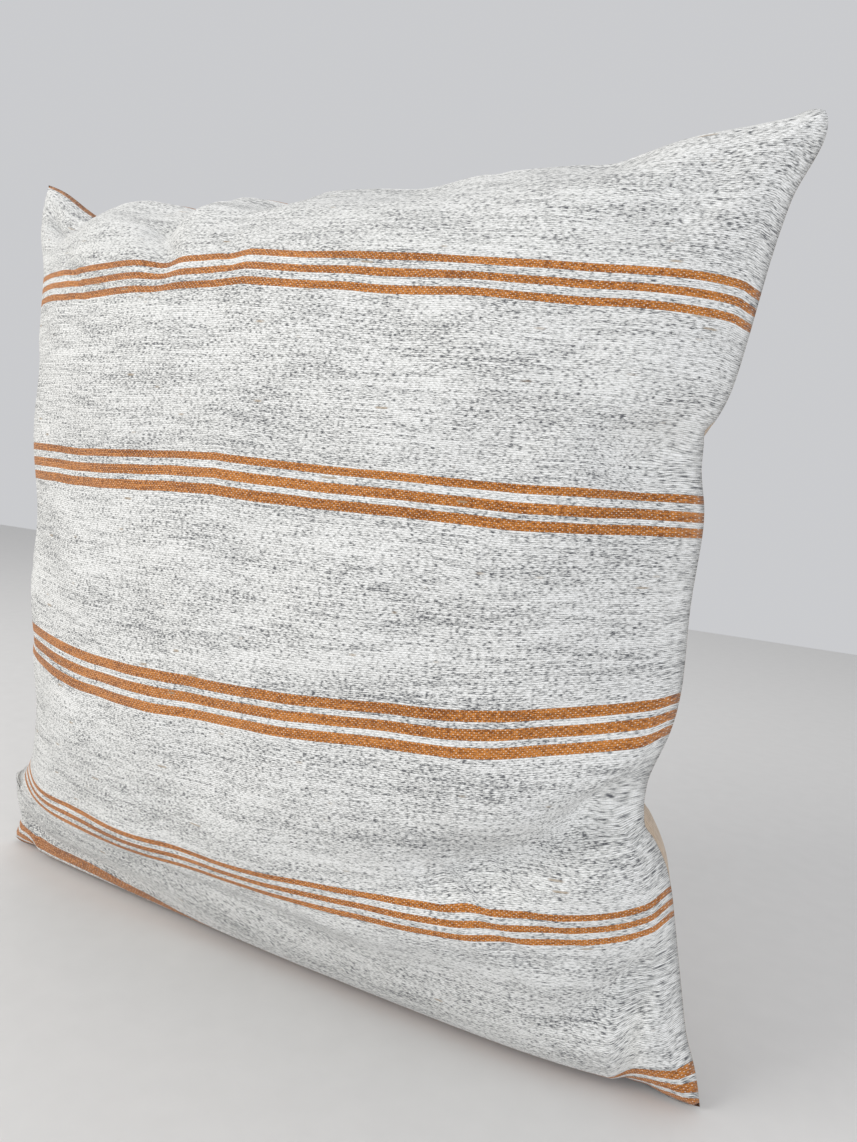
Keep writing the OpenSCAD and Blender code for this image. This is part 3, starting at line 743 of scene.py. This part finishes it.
def spun_thread(name, code, roughness, sheen):
    """Spun sewing thread: two plies twisted together, soft and slightly lustrous."""
    material, t = new_material(name)
    where = add(t, "ShaderNodeTexCoord")
    plies = add(t, "ShaderNodeTexWave", {"Vector": where.outputs["Object"], "Scale": 900.0, "Distortion": 1.5,
                "Detail": 1.0}, bands_direction="DIAGONAL")
    hairs = add(t, "ShaderNodeTexNoise", {"Vector": where.outputs["Object"], "Scale": 2600.0, "Detail": 2.0})
    base = srgb(code)
    dark = [k * 0.72 for k in base[:3]] + [1]
    # painted shade: the thread is darker in the grooves between its twisted plies, where its bump is low, and
    # along random hairs of its own tone
    tone = add(t, "ShaderNodeMath", {0: plies.outputs[1], 1: hairs.outputs[0]}, operation="MULTIPLY")
    colour = add(t, "ShaderNodeMix", {0: tone, 6: dark, 7: base}, data_type="RGBA")
    bump = add(t, "ShaderNodeBump", {"Strength": 0.4, "Distance": 0.0001, "Height": plies.outputs[1]})
    shader = add(t, "ShaderNodeBsdfPrincipled", {"Base Color": colour.outputs[2], "Roughness": roughness,
                 "IOR": 1.5, "Sheen Weight": sheen, "Sheen Roughness": 0.4, "Normal": bump})
    finish_surface(t, shader)
    return material


def zip_tape_twill():
    """Woven polyester zip tape: a fine herringbone with a faint polyester shine."""
    material, t = new_material("herringbone_polyester_tape")
    where = add(t, "ShaderNodeTexCoord")
    at = add(t, "ShaderNodeSeparateXYZ", {0: where.outputs["Object"]})
    # the ribs turn every 2 mm across the tape, and are 0.7 mm apart
    zigzag = add(t, "ShaderNodeMath", {0: at.outputs[1], 1: 0.002}, operation="PINGPONG")
    lean = add(t, "ShaderNodeMath", {0: zigzag, 1: at.outputs[0]}, operation="ADD")
    ribs = add(t, "ShaderNodeMath", {0: lean, 1: 2 * math.pi / 0.0007}, operation="MULTIPLY")
    ribs = add(t, "ShaderNodeMath", {0: ribs}, operation="SINE")
    # painted shade: the tape's colour is darker in the grooves between its ribs, where its bump is low
    tone = add(t, "ShaderNodeMapRange", {0: ribs, 1: -1.0, 2: 1.0})
    colour = add(t, "ShaderNodeMix", {0: tone, 6: srgb("#A8987F"), 7: srgb("#D3C6B0")}, data_type="RGBA")
    bump = add(t, "ShaderNodeBump", {"Strength": 0.5, "Distance": 0.00015, "Height": ribs})
    shader = add(t, "ShaderNodeBsdfPrincipled", {"Base Color": colour.outputs[2], "Roughness": 0.62,
                 "IOR": 1.57, "Sheen Weight": 0.1, "Normal": bump})
    finish_surface(t, shader)
    return material


def coil_nylon():
    """Nylon monofilament, heat-set into a coil: translucent, smooth and slightly glossy."""
    material, t = new_material("nylon_monofilament")
    where = add(t, "ShaderNodeTexCoord")
    draw = add(t, "ShaderNodeTexNoise", {"Vector": where.outputs["Object"], "Scale": 700.0, "Detail": 2.0})
    rough = add(t, "ShaderNodeMapRange", {0: draw.outputs[0], 1: 0.3, 2: 0.7, 3: 0.28, 4: 0.42})
    colour = add(t, "ShaderNodeMix", {0: draw.outputs[0], 6: srgb("#C4B69C"), 7: srgb("#D9CDB8")},
                 data_type="RGBA")
    shader = add(t, "ShaderNodeBsdfPrincipled", {"Base Color": colour.outputs[2], "Roughness": rough,
                 "IOR": 1.53, "Subsurface Weight": 0.15, "Subsurface Radius": (0.6, 0.5, 0.4),
                 "Subsurface Scale": 0.0005})
    finish_surface(t, shader)
    return material


def plated_zinc():
    """Nickel-plated zinc die casting: bright, tumbled smooth, with fine wear on its faces."""
    material, t = new_material("nickel_plated_zinc")
    where = add(t, "ShaderNodeTexCoord")
    wear = add(t, "ShaderNodeTexNoise", {"Vector": where.outputs["Object"], "Scale": 900.0, "Detail": 4.0})
    scratch = add(t, "ShaderNodeTexNoise", {"Vector": where.outputs["Object"], "Scale": 2500.0, "Detail": 2.0,
                  "Distortion": 2.0})
    rough = add(t, "ShaderNodeMapRange", {0: wear.outputs[0], 1: 0.35, 2: 0.7, 3: 0.2, 4: 0.42})
    colour = add(t, "ShaderNodeMix", {0: wear.outputs[0], 6: srgb("#A9A59C"), 7: srgb("#D2CFC7")},
                 data_type="RGBA")
    bump = add(t, "ShaderNodeBump", {"Strength": 0.15, "Distance": 0.00004, "Height": scratch.outputs[0]})
    shader = add(t, "ShaderNodeBsdfPrincipled", {"Base Color": colour.outputs[2], "Metallic": 1.0,
                 "Roughness": rough, "Normal": bump})
    finish_surface(t, shader)
    return material


def hollow_fibre():
    """Siliconised hollow polyester fibre: a white, cloudy mass of crimped fibres."""
    material, t = new_material("siliconised_polyester_fibre")
    where = add(t, "ShaderNodeTexCoord")
    tufts = add(t, "ShaderNodeTexNoise", {"Vector": where.outputs["Object"], "Scale": 45.0, "Detail": 6.0,
                "Roughness": 0.7, "Distortion": 1.5})
    # painted shade: the white fibre is greyer where its tufts are low, from the same noise that sets its bump
    colour = add(t, "ShaderNodeMix", {0: tufts.outputs[0], 6: srgb("#C9CBCC"), 7: srgb("#F7F7F5")},
                 data_type="RGBA")
    bump = add(t, "ShaderNodeBump", {"Strength": 0.7, "Distance": 0.004, "Height": tufts.outputs[0]})
    shader = add(t, "ShaderNodeBsdfPrincipled", {"Base Color": colour.outputs[2], "Roughness": 0.8,
                 "IOR": 1.57, "Sheen Weight": 0.4, "Sheen Roughness": 0.5, "Normal": bump})
    finish_surface(t, shader)
    return material


def floor_paint():
    """Matt backdrop paper."""
    material, t = new_material("matt_backdrop_paper")
    where = add(t, "ShaderNodeTexCoord")
    grain = add(t, "ShaderNodeTexNoise", {"Vector": where.outputs["Object"], "Scale": 60.0, "Detail": 3.0})
    colour = add(t, "ShaderNodeMix", {0: grain.outputs[0], 6: srgb("#D4D3D1"), 7: srgb("#DAD9D7")},
                 data_type="RGBA")
    shader = add(t, "ShaderNodeBsdfPrincipled", {"Base Color": colour.outputs[2], "Roughness": 0.9})
    finish_surface(t, shader)
    return material


# ---------------------------------------------------------------- things that repeat

def node_tree(name, inputs):
    """A geometry tree with named inputs, its group input and its group output."""
    tree = bpy.data.node_groups.new(name, "GeometryNodeTree")
    tree.interface.new_socket("Geometry", in_out="INPUT", socket_type="NodeSocketGeometry")
    for label, kind in inputs:
        tree.interface.new_socket(label, in_out="INPUT", socket_type=kind)
    tree.interface.new_socket("Geometry", in_out="OUTPUT", socket_type="NodeSocketGeometry")
    return tree, tree.nodes.new("NodeGroupInput")


def close_tree(tree, geometry, material):
    whole = add(tree, "GeometryNodeRealizeInstances", {0: geometry})
    smoothed = add(tree, "GeometryNodeSetShadeSmooth", {0: whole})
    painted = add(tree, "GeometryNodeSetMaterial", {0: smoothed, "Material": material})
    add(tree, "NodeGroupOutput", {0: painted})


def grown(piece, tree, values):
    """The plain mesh object that a geometry tree makes on piece, which is used up."""
    modifier = piece.modifiers.new("grow", "NODES")
    modifier.node_group = tree
    for item in tree.interface.items_tree:
        if item.in_out == "INPUT" and item.name in values:
            modifier[item.identifier] = values[item.name]
    piece.update_tag()
    graph = bpy.context.evaluated_depsgraph_get()
    mesh = bpy.data.meshes.new_from_object(piece.evaluated_get(graph), depsgraph=graph)
    name, old = piece.name, piece.data
    bpy.data.objects.remove(piece)
    bpy.data.meshes.remove(old)
    mesh.name = name
    return linked(name, mesh)


def path_object(name, *lines, closed=False):
    """Lines of points joined by bare edges, for a geometry tree to follow."""
    links, first = [], 0
    for line in lines:
        count = len(line)
        links += [(first + k, first + (k + 1) % count) for k in range(count if closed else count - 1)]
        first += count
    mesh = bpy.data.meshes.new(name)
    mesh.from_pydata(np.concatenate(lines).tolist(), links, [])
    return linked(name, mesh)


def stitch_tree(material):
    """A grain-shaped stitch at each step of a path, turned along it."""
    if "stitches" in bpy.data.node_groups:
        return bpy.data.node_groups["stitches"]
    tree, given = node_tree("stitches", (("Stitch length", "NodeSocketFloat"), ("Thread", "NodeSocketFloat"),
                                         ("Gap", "NodeSocketFloat")))
    curve = add(tree, "GeometryNodeMeshToCurve", {0: given.outputs[0]})
    step = add(tree, "GeometryNodeResampleCurve", {"Curve": curve, "Length": given.outputs[1]}, mode="LENGTH")
    along = add(tree, "GeometryNodeInputTangent")
    turned = add(tree, "FunctionNodeAlignRotationToVector", {"Vector": along}, axis="X")
    grain = add(tree, "GeometryNodeMeshUVSphere", {"Segments": 8, "Rings": 5, "Radius": 0.5})
    long = add(tree, "ShaderNodeMath", {0: given.outputs[1], 1: given.outputs[3]}, operation="SUBTRACT")
    size = add(tree, "ShaderNodeCombineXYZ", {0: long, 1: given.outputs[2], 2: given.outputs[2]})
    stitch = add(tree, "GeometryNodeTransform", {0: grain, "Scale": size})
    placed = add(tree, "GeometryNodeInstanceOnPoints", {"Points": step, "Instance": stitch,
                                                        "Rotation": turned})
    close_tree(tree, placed, material)
    return tree


def stitches(name, *lines, closed=False):
    """A row of stitches along each line, in the one thread that all the seams are sewn with."""
    tree = stitch_tree(bpy.data.materials["spun_polyester_thread"])
    return grown(path_object(name, *lines, closed=closed), tree,
                 {"Stitch length": sizes().stitch_length, "Thread": THREAD, "Gap": STITCH_GAP})


def overlock_tree(material):
    """Loops of thread wrapped round the raw edge of a seam allowance, leaning along it."""
    tree, given = node_tree("overlock", (("Loop spacing", "NodeSocketFloat"), ("Width", "NodeSocketFloat"),
                                         ("Height", "NodeSocketFloat"), ("Thread", "NodeSocketFloat")))
    curve = add(tree, "GeometryNodeMeshToCurve", {0: given.outputs[0]})
    step = add(tree, "GeometryNodeResampleCurve", {"Curve": curve, "Length": given.outputs[1]}, mode="LENGTH")
    along = add(tree, "GeometryNodeInputTangent")
    turned = add(tree, "FunctionNodeAlignRotationToVector", {"Vector": along}, axis="X")
    upright = add(tree, "FunctionNodeAlignRotationToVector", {"Rotation": turned, "Vector": (0.0, 1.0, 0.0)},
                  axis="Z", pivot_axis="X")
    ring = add(tree, "GeometryNodeCurvePrimitiveCircle", {"Resolution": 12, "Radius": 0.5})
    stood = add(tree, "GeometryNodeTransform", {0: ring, "Rotation": (0.0, math.pi / 2, 0.0)})
    size = add(tree, "ShaderNodeCombineXYZ", {0: 1.0, 1: given.outputs[2], 2: given.outputs[3]})
    shaped = add(tree, "GeometryNodeTransform", {0: stood, "Scale": size, "Rotation": (0.0, 0.0, 0.35)})
    strand = add(tree, "GeometryNodeCurvePrimitiveCircle", {"Resolution": 5, "Radius": given.outputs[4]})
    loop = add(tree, "GeometryNodeCurveToMesh", {0: shaped, 1: strand})
    placed = add(tree, "GeometryNodeInstanceOnPoints", {"Points": step, "Instance": loop,
                                                        "Rotation": upright})
    close_tree(tree, placed, material)
    return tree


def coil_tree(material):
    """One half of a zip's chain: a filament wound in an oval coil along X."""
    tree, given = node_tree("zip_coil", (("Turns", "NodeSocketFloat"), ("Length", "NodeSocketFloat"),
                                         ("Half width", "NodeSocketFloat"), ("Half height",
                                                            "NodeSocketFloat"),
                                         ("Filament", "NodeSocketFloat"), ("Centre", "NodeSocketVector")))
    coil = add(tree, "GeometryNodeCurveSpiral", {"Resolution": 12, "Rotations": given.outputs[1],
               "Start Radius": 1.0, "End Radius": 1.0, "Height": given.outputs[2]})
    laid = add(tree, "GeometryNodeTransform", {0: coil, "Rotation": (0.0, math.pi / 2, 0.0)})
    size = add(tree, "ShaderNodeCombineXYZ", {0: 1.0, 1: given.outputs[3], 2: given.outputs[4]})
    oval = add(tree, "GeometryNodeTransform", {0: laid, "Scale": size, "Translation": given.outputs[6]})
    strand = add(tree, "GeometryNodeCurvePrimitiveCircle", {"Resolution": 6, "Radius": given.outputs[5]})
    wound = add(tree, "GeometryNodeCurveToMesh", {0: oval, 1: strand, "Fill Caps": True})
    close_tree(tree, wound, material)
    return tree


def seam_line(middle, depth):
    """A line on the middle surface, a given number of cells in from the seams, without the stretch
    that the zip holds apart."""
    cells = len(middle) - 1
    rows, columns = ring_walk(cells, depth)
    line = middle[rows, columns]
    keep = ~((rows == depth) & (np.abs(line[:, 0]) < EAR_IN))
    start = int(np.where(keep & ~np.roll(keep, 1))[0][0])
    return np.roll(line, -start, axis=0)[:keep.sum()]


# ---------------------------------------------------------------- what a user may change

def length(name, description, metres, precision=4):
    return bpy.props.FloatProperty(name=name, description=description, default=metres, unit="LENGTH",
                                   precision=precision)


def yarn_colour(name, description, code):
    return bpy.props.FloatVectorProperty(name=name, description=description, size=3, subtype="COLOR",
                                         default=srgb(code)[:3], min=0, max=1)


class PillowSizes(bpy.types.PropertyGroup):
    flat_size: length("Flat cloth", "Side of each square before it is filled", 0.508)
    give: bpy.props.FloatProperty(name="Give", description="How much the loose weave stretches when it is filled",
                                  default=1.08, subtype="FACTOR")
    lower_left_dip: length("Lower left dip", "How much further the left side pulls in above its lower ear",
                           0.019)
    side_dip: length("Side dip", "How far a side seam pulls in between its ears", 0.030)
    top_dip: length("Top dip", "How far the top seam sinks between its ears", 0.022)
    start_depth: length("Starting depth", "Half depth before it is inflated", 0.088)
    pressure: bpy.props.FloatProperty(name="Filling",
                                      description="Pressure of the filling in the simulation", default=11.0)
    seam_wave: length("Seam wave", "How far the gathered seams wave", 0.0065)
    fold_depth: bpy.props.FloatProperty(name="Fold depth", description="Scale of the soft folds",
                                        default=1.0, subtype="FACTOR")
    front_thickness: length("Front cloth", "Thickness of the striped cloth", 0.0014)
    back_thickness: length("Back cloth", "Thickness of the plain cloth", 0.0009)
    insert_thickness: length("Insert cloth", "Thickness of the insert's cloth", 0.0006)
    warp_pitch: length("Warp pitch", "From one warp yarn to the next", 0.00115, 5)
    weft_pitch: length("Weft pitch", "From one weft row to the next", 0.00098, 5)
    weft_skew: bpy.props.FloatProperty(name="Weft skew",
                                       description="Rise of the rows to the right, per metre", default=0.006)
    first_group: length("First stripes", "Middle of the lowest three stripes", 0.0095)
    group_pitch: length("Group pitch", "From three stripes to the next three", 0.1013)
    stripe_pitch: length("Stripe pitch", "From stripe to stripe in a group", 0.00784, 5)
    stripe_width: length("Stripe width", "Width of one stripe", 0.0045)
    stitch_length: length("Stitch length", "Of the closing seams", 0.003)
    coil_pitch: length("Coil pitch", "From turn to turn of the zip's coil", 0.00125, 5)


class PillowColours(bpy.types.PropertyGroup):
    light_weft: yarn_colour("Light weft", "Undyed weft yarn", "#ECECE9")
    warp: yarn_colour("Warp", "Ecru warp yarn", "#EFEDE6")
    rust: yarn_colour("Rust", "Dyed weft of the stripes", "#CA823A")
    rust_shadow: yarn_colour("Rust shadow", "Its darker fibres", "#7E4612")
    back: yarn_colour("Back", "Plain cotton of the back", "#C9B8A4")
    back_shadow: yarn_colour("Back shadow", "Its darker yarns", "#9C8974")


# ---------------------------------------------------------------- the makers

class PILLOW_OT_front(bpy.types.Operator):
    """Striped front cloth, inflated, folded at its seams and over the zip"""
    bl_idname = "pillow.front"
    bl_label = "Striped front"

    def execute(self, context):
        front, _, middle = cover_grids()
        piece = cloth_shell("front_cover", front, middle, FRONT, sizes().front_thickness, striped_weave())
        declare(piece, ["front_panel"])
        return {"FINISHED"}


class PILLOW_OT_back(bpy.types.Operator):
    """Plain cotton back cloth"""
    bl_idname = "pillow.back"
    bl_label = "Plain back"

    def execute(self, context):
        _, back, middle = cover_grids()
        c = colours()
        # real yarns are 0.45 mm apart, drawn at 0.8 mm so that they show
        cloth = plain_weave("plain_weave_cotton", c.back, c.back_shadow, 0.0008, 0.00018, 0.9)
        piece = cloth_shell("back_cover", back, middle, BACK, sizes().back_thickness, cloth)
        declare(piece, ["back_panel"])
        return {"FINISHED"}


class PILLOW_OT_seams(bpy.types.Operator):
    """Closing stitches and overlocked edges of the cover"""
    bl_idname = "pillow.seams"
    bl_label = "Cover seams"

    def execute(self, context):
        s = sizes()
        _, _, middle = cover_grids()
        thread = spun_thread("spun_polyester_thread", "#E4DDCF", 0.6, 0.3)
        # one cell of the finished grid is 3 mm
        for name, node, y in (("closing_needle_thread", "seam_needle_thread", -SEAM_GAP - s.front_thickness),
                              ("closing_bobbin_thread", "seam_bobbin_thread", SEAM_GAP + s.back_thickness)):
            line = seam_line(middle, 2) + [0, y + math.copysign(0.00015, y), 0]
            declare(stitches(name, line), [node])
        edge = seam_line(middle, RINGS)
        loops = grown(path_object("overlocked_edge", edge), overlock_tree(thread),
                      {"Loop spacing": 0.0028, "Width": 0.006,
                       "Height": s.front_thickness + s.back_thickness + 0.0009, "Thread": 0.00014})
        declare(loops, ["overlock_thread"])
        return {"FINISHED"}


class PILLOW_OT_zip(bpy.types.Operator):
    """Zip chain, tapes, stops, slider and pull, and the stitching that holds the tapes"""
    bl_idname = "pillow.zip"
    bl_label = "Zip"

    def execute(self, context):
        s = sizes()
        nodes = frame["nodes"]
        tape, metal, nylon = zip_tape_twill(), plated_zinc(), coil_nylon()
        for name in ("zip_tape_front", "zip_tape_back"):
            nodes[name].data.materials.clear()
            nodes[name].data.materials.append(tape)
        for name in ("zip_top_stops", "zip_bottom_stop", "zip_slider", "zip_pull_tab"):
            nodes[name].data.materials.clear()
            nodes[name].data.materials.append(metal)
        tree = coil_tree(nylon)
        filament = 0.00025
        length = COIL_HIGH[0] - COIL_LOW[0]
        reach = COIL_HIGH[1] + filament          # a tooth crosses the middle by a filament's half
        for side, name in ((FRONT, "front"), (BACK, "back")):
            base = path_object(f"coil_{name}_half", [(0, 0, 0), (0.001, 0, 0)])
            shift = (0 if side == FRONT else s.coil_pitch / 2)
            middle = Vector((COIL_LOW[0] + 0.0004 + shift / 2, side * (reach / 2 - filament),
                             (COIL_LOW[2] + COIL_HIGH[2]) / 2))
            turns = (length - 0.0012) / s.coil_pitch
            piece = grown(base, tree, {"Turns": turns, "Length": length - 0.0012,
                                       "Half width": reach / 2 - filament,
                                       "Half height": (COIL_HIGH[2] - COIL_LOW[2]) / 2 - filament,
                                       "Filament": filament, "Centre": middle})
            declare(piece, [f"zip_coil_{name}"])
        for side, name in ((FRONT, "front"), (BACK, "back")):
            low, high = (np.array(k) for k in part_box(f"zip_stitching_{name}"))
            y = (low[1] + high[1]) / 2
            lines = [[(x, y, z) for x in np.linspace(low[0] + 0.002, high[0] - 0.002, 60)]
                     for z in (low[2] + 0.0001, high[2] - 0.0001)]
            declare(stitches(f"tape_stitches_{name}", *lines), [f"zip_stitching_{name}"])
        return {"FINISHED"}


def insert_grids(cells, shrink, clearance):
    """Front and back of a pad inside the cover, whose edges stand shrink inside the cover's seams."""
    front, back, middle = cover_grids()
    n = len(front) - 1
    u, v = flat_axes(cells)
    span = 1 - 2 * shrink / sizes().flat_size
    column = (u * span + 1) / 2 * n
    flat = sizes().flat_size
    row = ((v + 1) / 2 * (1 - (2 * shrink + 8 * MM) / flat) + (shrink + 8 * MM) / flat) * n
    ring = np.sqrt(np.clip(1 - np.abs(u) ** 10, 0, 1) * np.clip(1 - np.abs(v) ** 10, 0, 1))

    def sample(grid):
        i, j = np.clip(column.astype(int), 0, n - 1), np.clip(row.astype(int), 0, n - 1)
        f, g = (column - i)[..., None], (row - j)[..., None]
        return ((grid[j, i] * (1 - f) + grid[j, i + 1] * f) * (1 - g)
                + (grid[j + 1, i] * (1 - f) + grid[j + 1, i + 1] * f) * g)

    centre = sample(middle)
    out = []
    for grid, side in ((front, FRONT), (back, BACK)):
        near = sample(grid)
        pad = centre.copy()
        reach = np.maximum(np.abs(near[..., 1] - centre[..., 1]) - clearance, 0) * ring
        pad[..., 1] = centre[..., 1] + side * (SEAM_GAP + reach)
        pad[..., 0] += (near[..., 0] - centre[..., 0]) * ring
        pad[..., 2] += (near[..., 2] - centre[..., 2]) * ring * 0.6
        pad[..., 2] = np.maximum(pad[..., 2], 0.0135)
        out.append(pad)
    return out


def lens(name, front, back, material, uv_scale):
    """A closed body between two grids."""
    cells = len(front) - 1
    n = (cells + 1) ** 2
    index = np.arange(n).reshape(cells + 1, cells + 1)
    walk = ring_walk(cells, 0)
    ring = index[walk]
    faces = grid_quads(index).tolist() + (grid_quads(index)[:, ::-1] + n).tolist()
    faces += [[int(k) for k in (here, here + n, there + n, there)] for here, there in zip(ring,
                                                            np.roll(ring, -1))]
    u, v = flat_axes(cells)
    uv = (np.stack([u + 1, v + 1], -1) * uv_scale / 2).reshape(-1, 2)
    return mesh_object(name, np.concatenate([front.reshape(-1, 3), back.reshape(-1, 3)]), faces, material,
                       np.concatenate([uv, uv * [1, -1]]))


class PILLOW_OT_insert(bpy.types.Operator):
    """Insert: two cotton cloths, their closing stitches and the fibre filling"""
    bl_idname = "pillow.insert"
    bl_label = "Insert"

    def execute(self, context):
        s = sizes()
        cells = 64
        # real yarns are 0.3 mm apart, drawn at 0.8 mm so that they show
        cotton = plain_weave("downproof_cotton_cambric", srgb("#F3F2EE")[:3], srgb("#D9D8D3")[:3], 0.0008,
                             0.00012, 0.8, fleck=0.2)
        front, back = insert_grids(cells, 0.016, 0.004)
        t = s.insert_thickness
        for side, grid, name in ((FRONT, front, "front"), (BACK, back, "back")):
            inside = grid.copy()
            inside[..., 1] = grid[..., 1] - side * t
            rim = rim_depth(cells)
            inside[..., 1] = np.where(rim < 1, grid[..., 1] + side * t, np.where(
                np.abs(inside[..., 1]) < 0.0004, side * 0.0004, inside[..., 1]))
            pair = (grid, inside) if side == FRONT else (inside, grid)
            piece = lens(f"insert_{name}_cover", *pair, cotton, s.flat_size)
            declare(piece, [f"insert_{name}_shell"])
        edge = ring_walk(cells, 1)
        for side, grid, name in ((FRONT, front, "needle"), (BACK, back, "bobbin")):
            line = grid[edge] + [0, side * 0.0003, 0]
            piece = stitches(f"insert_{name}_stitches", line, closed=True)
            declare(piece, [f"insert_{name}_thread"])
        front, back = insert_grids(cells, 0.020, 0.0055)
        piece = lens("fibre_filling", front, back, hollow_fibre(), s.flat_size)
        declare(piece, ["insert_filling"])
        return {"FINISHED"}


class PILLOW_OT_stage(bpy.types.Operator):
    """Pale floor, soft light and the camera"""
    bl_idname = "pillow.stage"
    bl_label = "Stage"

    def execute(self, context):
        scene = context.scene
        half, behind = 4.0, 2.6 - 0.8
        corners = [(-half, -half, 0), (half, -half, 0), (-half, behind, 0), (half, behind, 0)]
        floor = mesh_object("floor", corners, [[0, 1, 3, 2]], floor_paint())
        world = bpy.data.worlds.new("pale studio")
        scene.world = world
        world.use_nodes = True
        world.node_tree.nodes["Background"].inputs[0].default_value = srgb("#E6E7EA")
        world.node_tree.nodes["Background"].inputs[1].default_value = 0.75
        for name, place, power, width, colour in (
                ("window", (-1.3, -1.35, 1.15), 24, 1.1, "#FFFDFA"),
                ("bounce", (1.4, -1.2, 0.45), 15.5, 1.2, "#F4F7FF"),
                ("top", (-0.3, 0.5, 1.9), 5, 1.2, "#FFFFFF")):
            light = bpy.data.lights.new(name, "AREA")
            light.energy, light.size, light.color = power, width, srgb(colour)[:3]
            lamp = bpy.data.objects.new(name, light)
            lamp.location = place
            lamp.rotation_euler = (Vector((0, 0, 0.24)) - Vector(place)).to_track_quat("-Z", "Y").to_euler()
            scene.collection.objects.link(lamp)
        camera = bpy.data.cameras.new("camera")
        camera.lens, camera.sensor_width = 26, 36
        view = bpy.data.objects.new("camera", camera)
        right, ahead = Vector((0.894, 0.438, 0.095)), Vector((-0.430, 0.898, -0.094)).normalized()
        up = right.cross(ahead).normalized()
        right = ahead.cross(up)
        view.matrix_world = Matrix((
            (right.x, up.x, -ahead.x, 0.2725), (right.y, up.y, -ahead.y, -0.4145),
            (right.z, up.z, -ahead.z, 0.2876), (0, 0, 0, 1)))
        scene.collection.objects.link(view)
        scene.camera = view
        scene.view_settings.view_transform = "Standard"
        return {"FINISHED"}


MAKERS = (PILLOW_OT_front, PILLOW_OT_back, PILLOW_OT_seams, PILLOW_OT_zip, PILLOW_OT_insert, PILLOW_OT_stage)


class PILLOW_PT_panel(bpy.types.Panel):
    """Sizes, colours and makers of the pillow"""
    bl_label = "Throw pillow"
    bl_idname = "PILLOW_PT_panel"
    bl_space_type = "VIEW_3D"
    bl_region_type = "UI"
    bl_category = "Pillow"

    def draw(self, context):
        for group in (context.scene.pillow_sizes, context.scene.pillow_colours):
            box = self.layout.box()
            for name in group.__annotations__:
                box.prop(group, name)
        for maker in MAKERS:
            self.layout.operator(maker.bl_idname, text=maker.bl_label)


CLASSES = (PillowSizes, PillowColours, *MAKERS, PILLOW_PT_panel)


def register():
    for item in CLASSES:
        bpy.utils.register_class(item)
    bpy.types.Scene.pillow_sizes = bpy.props.PointerProperty(type=PillowSizes)
    bpy.types.Scene.pillow_colours = bpy.props.PointerProperty(type=PillowColours)


def unregister():
    del bpy.types.Scene.pillow_sizes
    del bpy.types.Scene.pillow_colours
    for item in reversed(CLASSES):
        bpy.utils.unregister_class(item)


def main():
    register()
    for maker in MAKERS:
        group, name = maker.bl_idname.split(".")
        getattr(getattr(bpy.ops, group), name)()


if __name__ == "__main__":
    main()
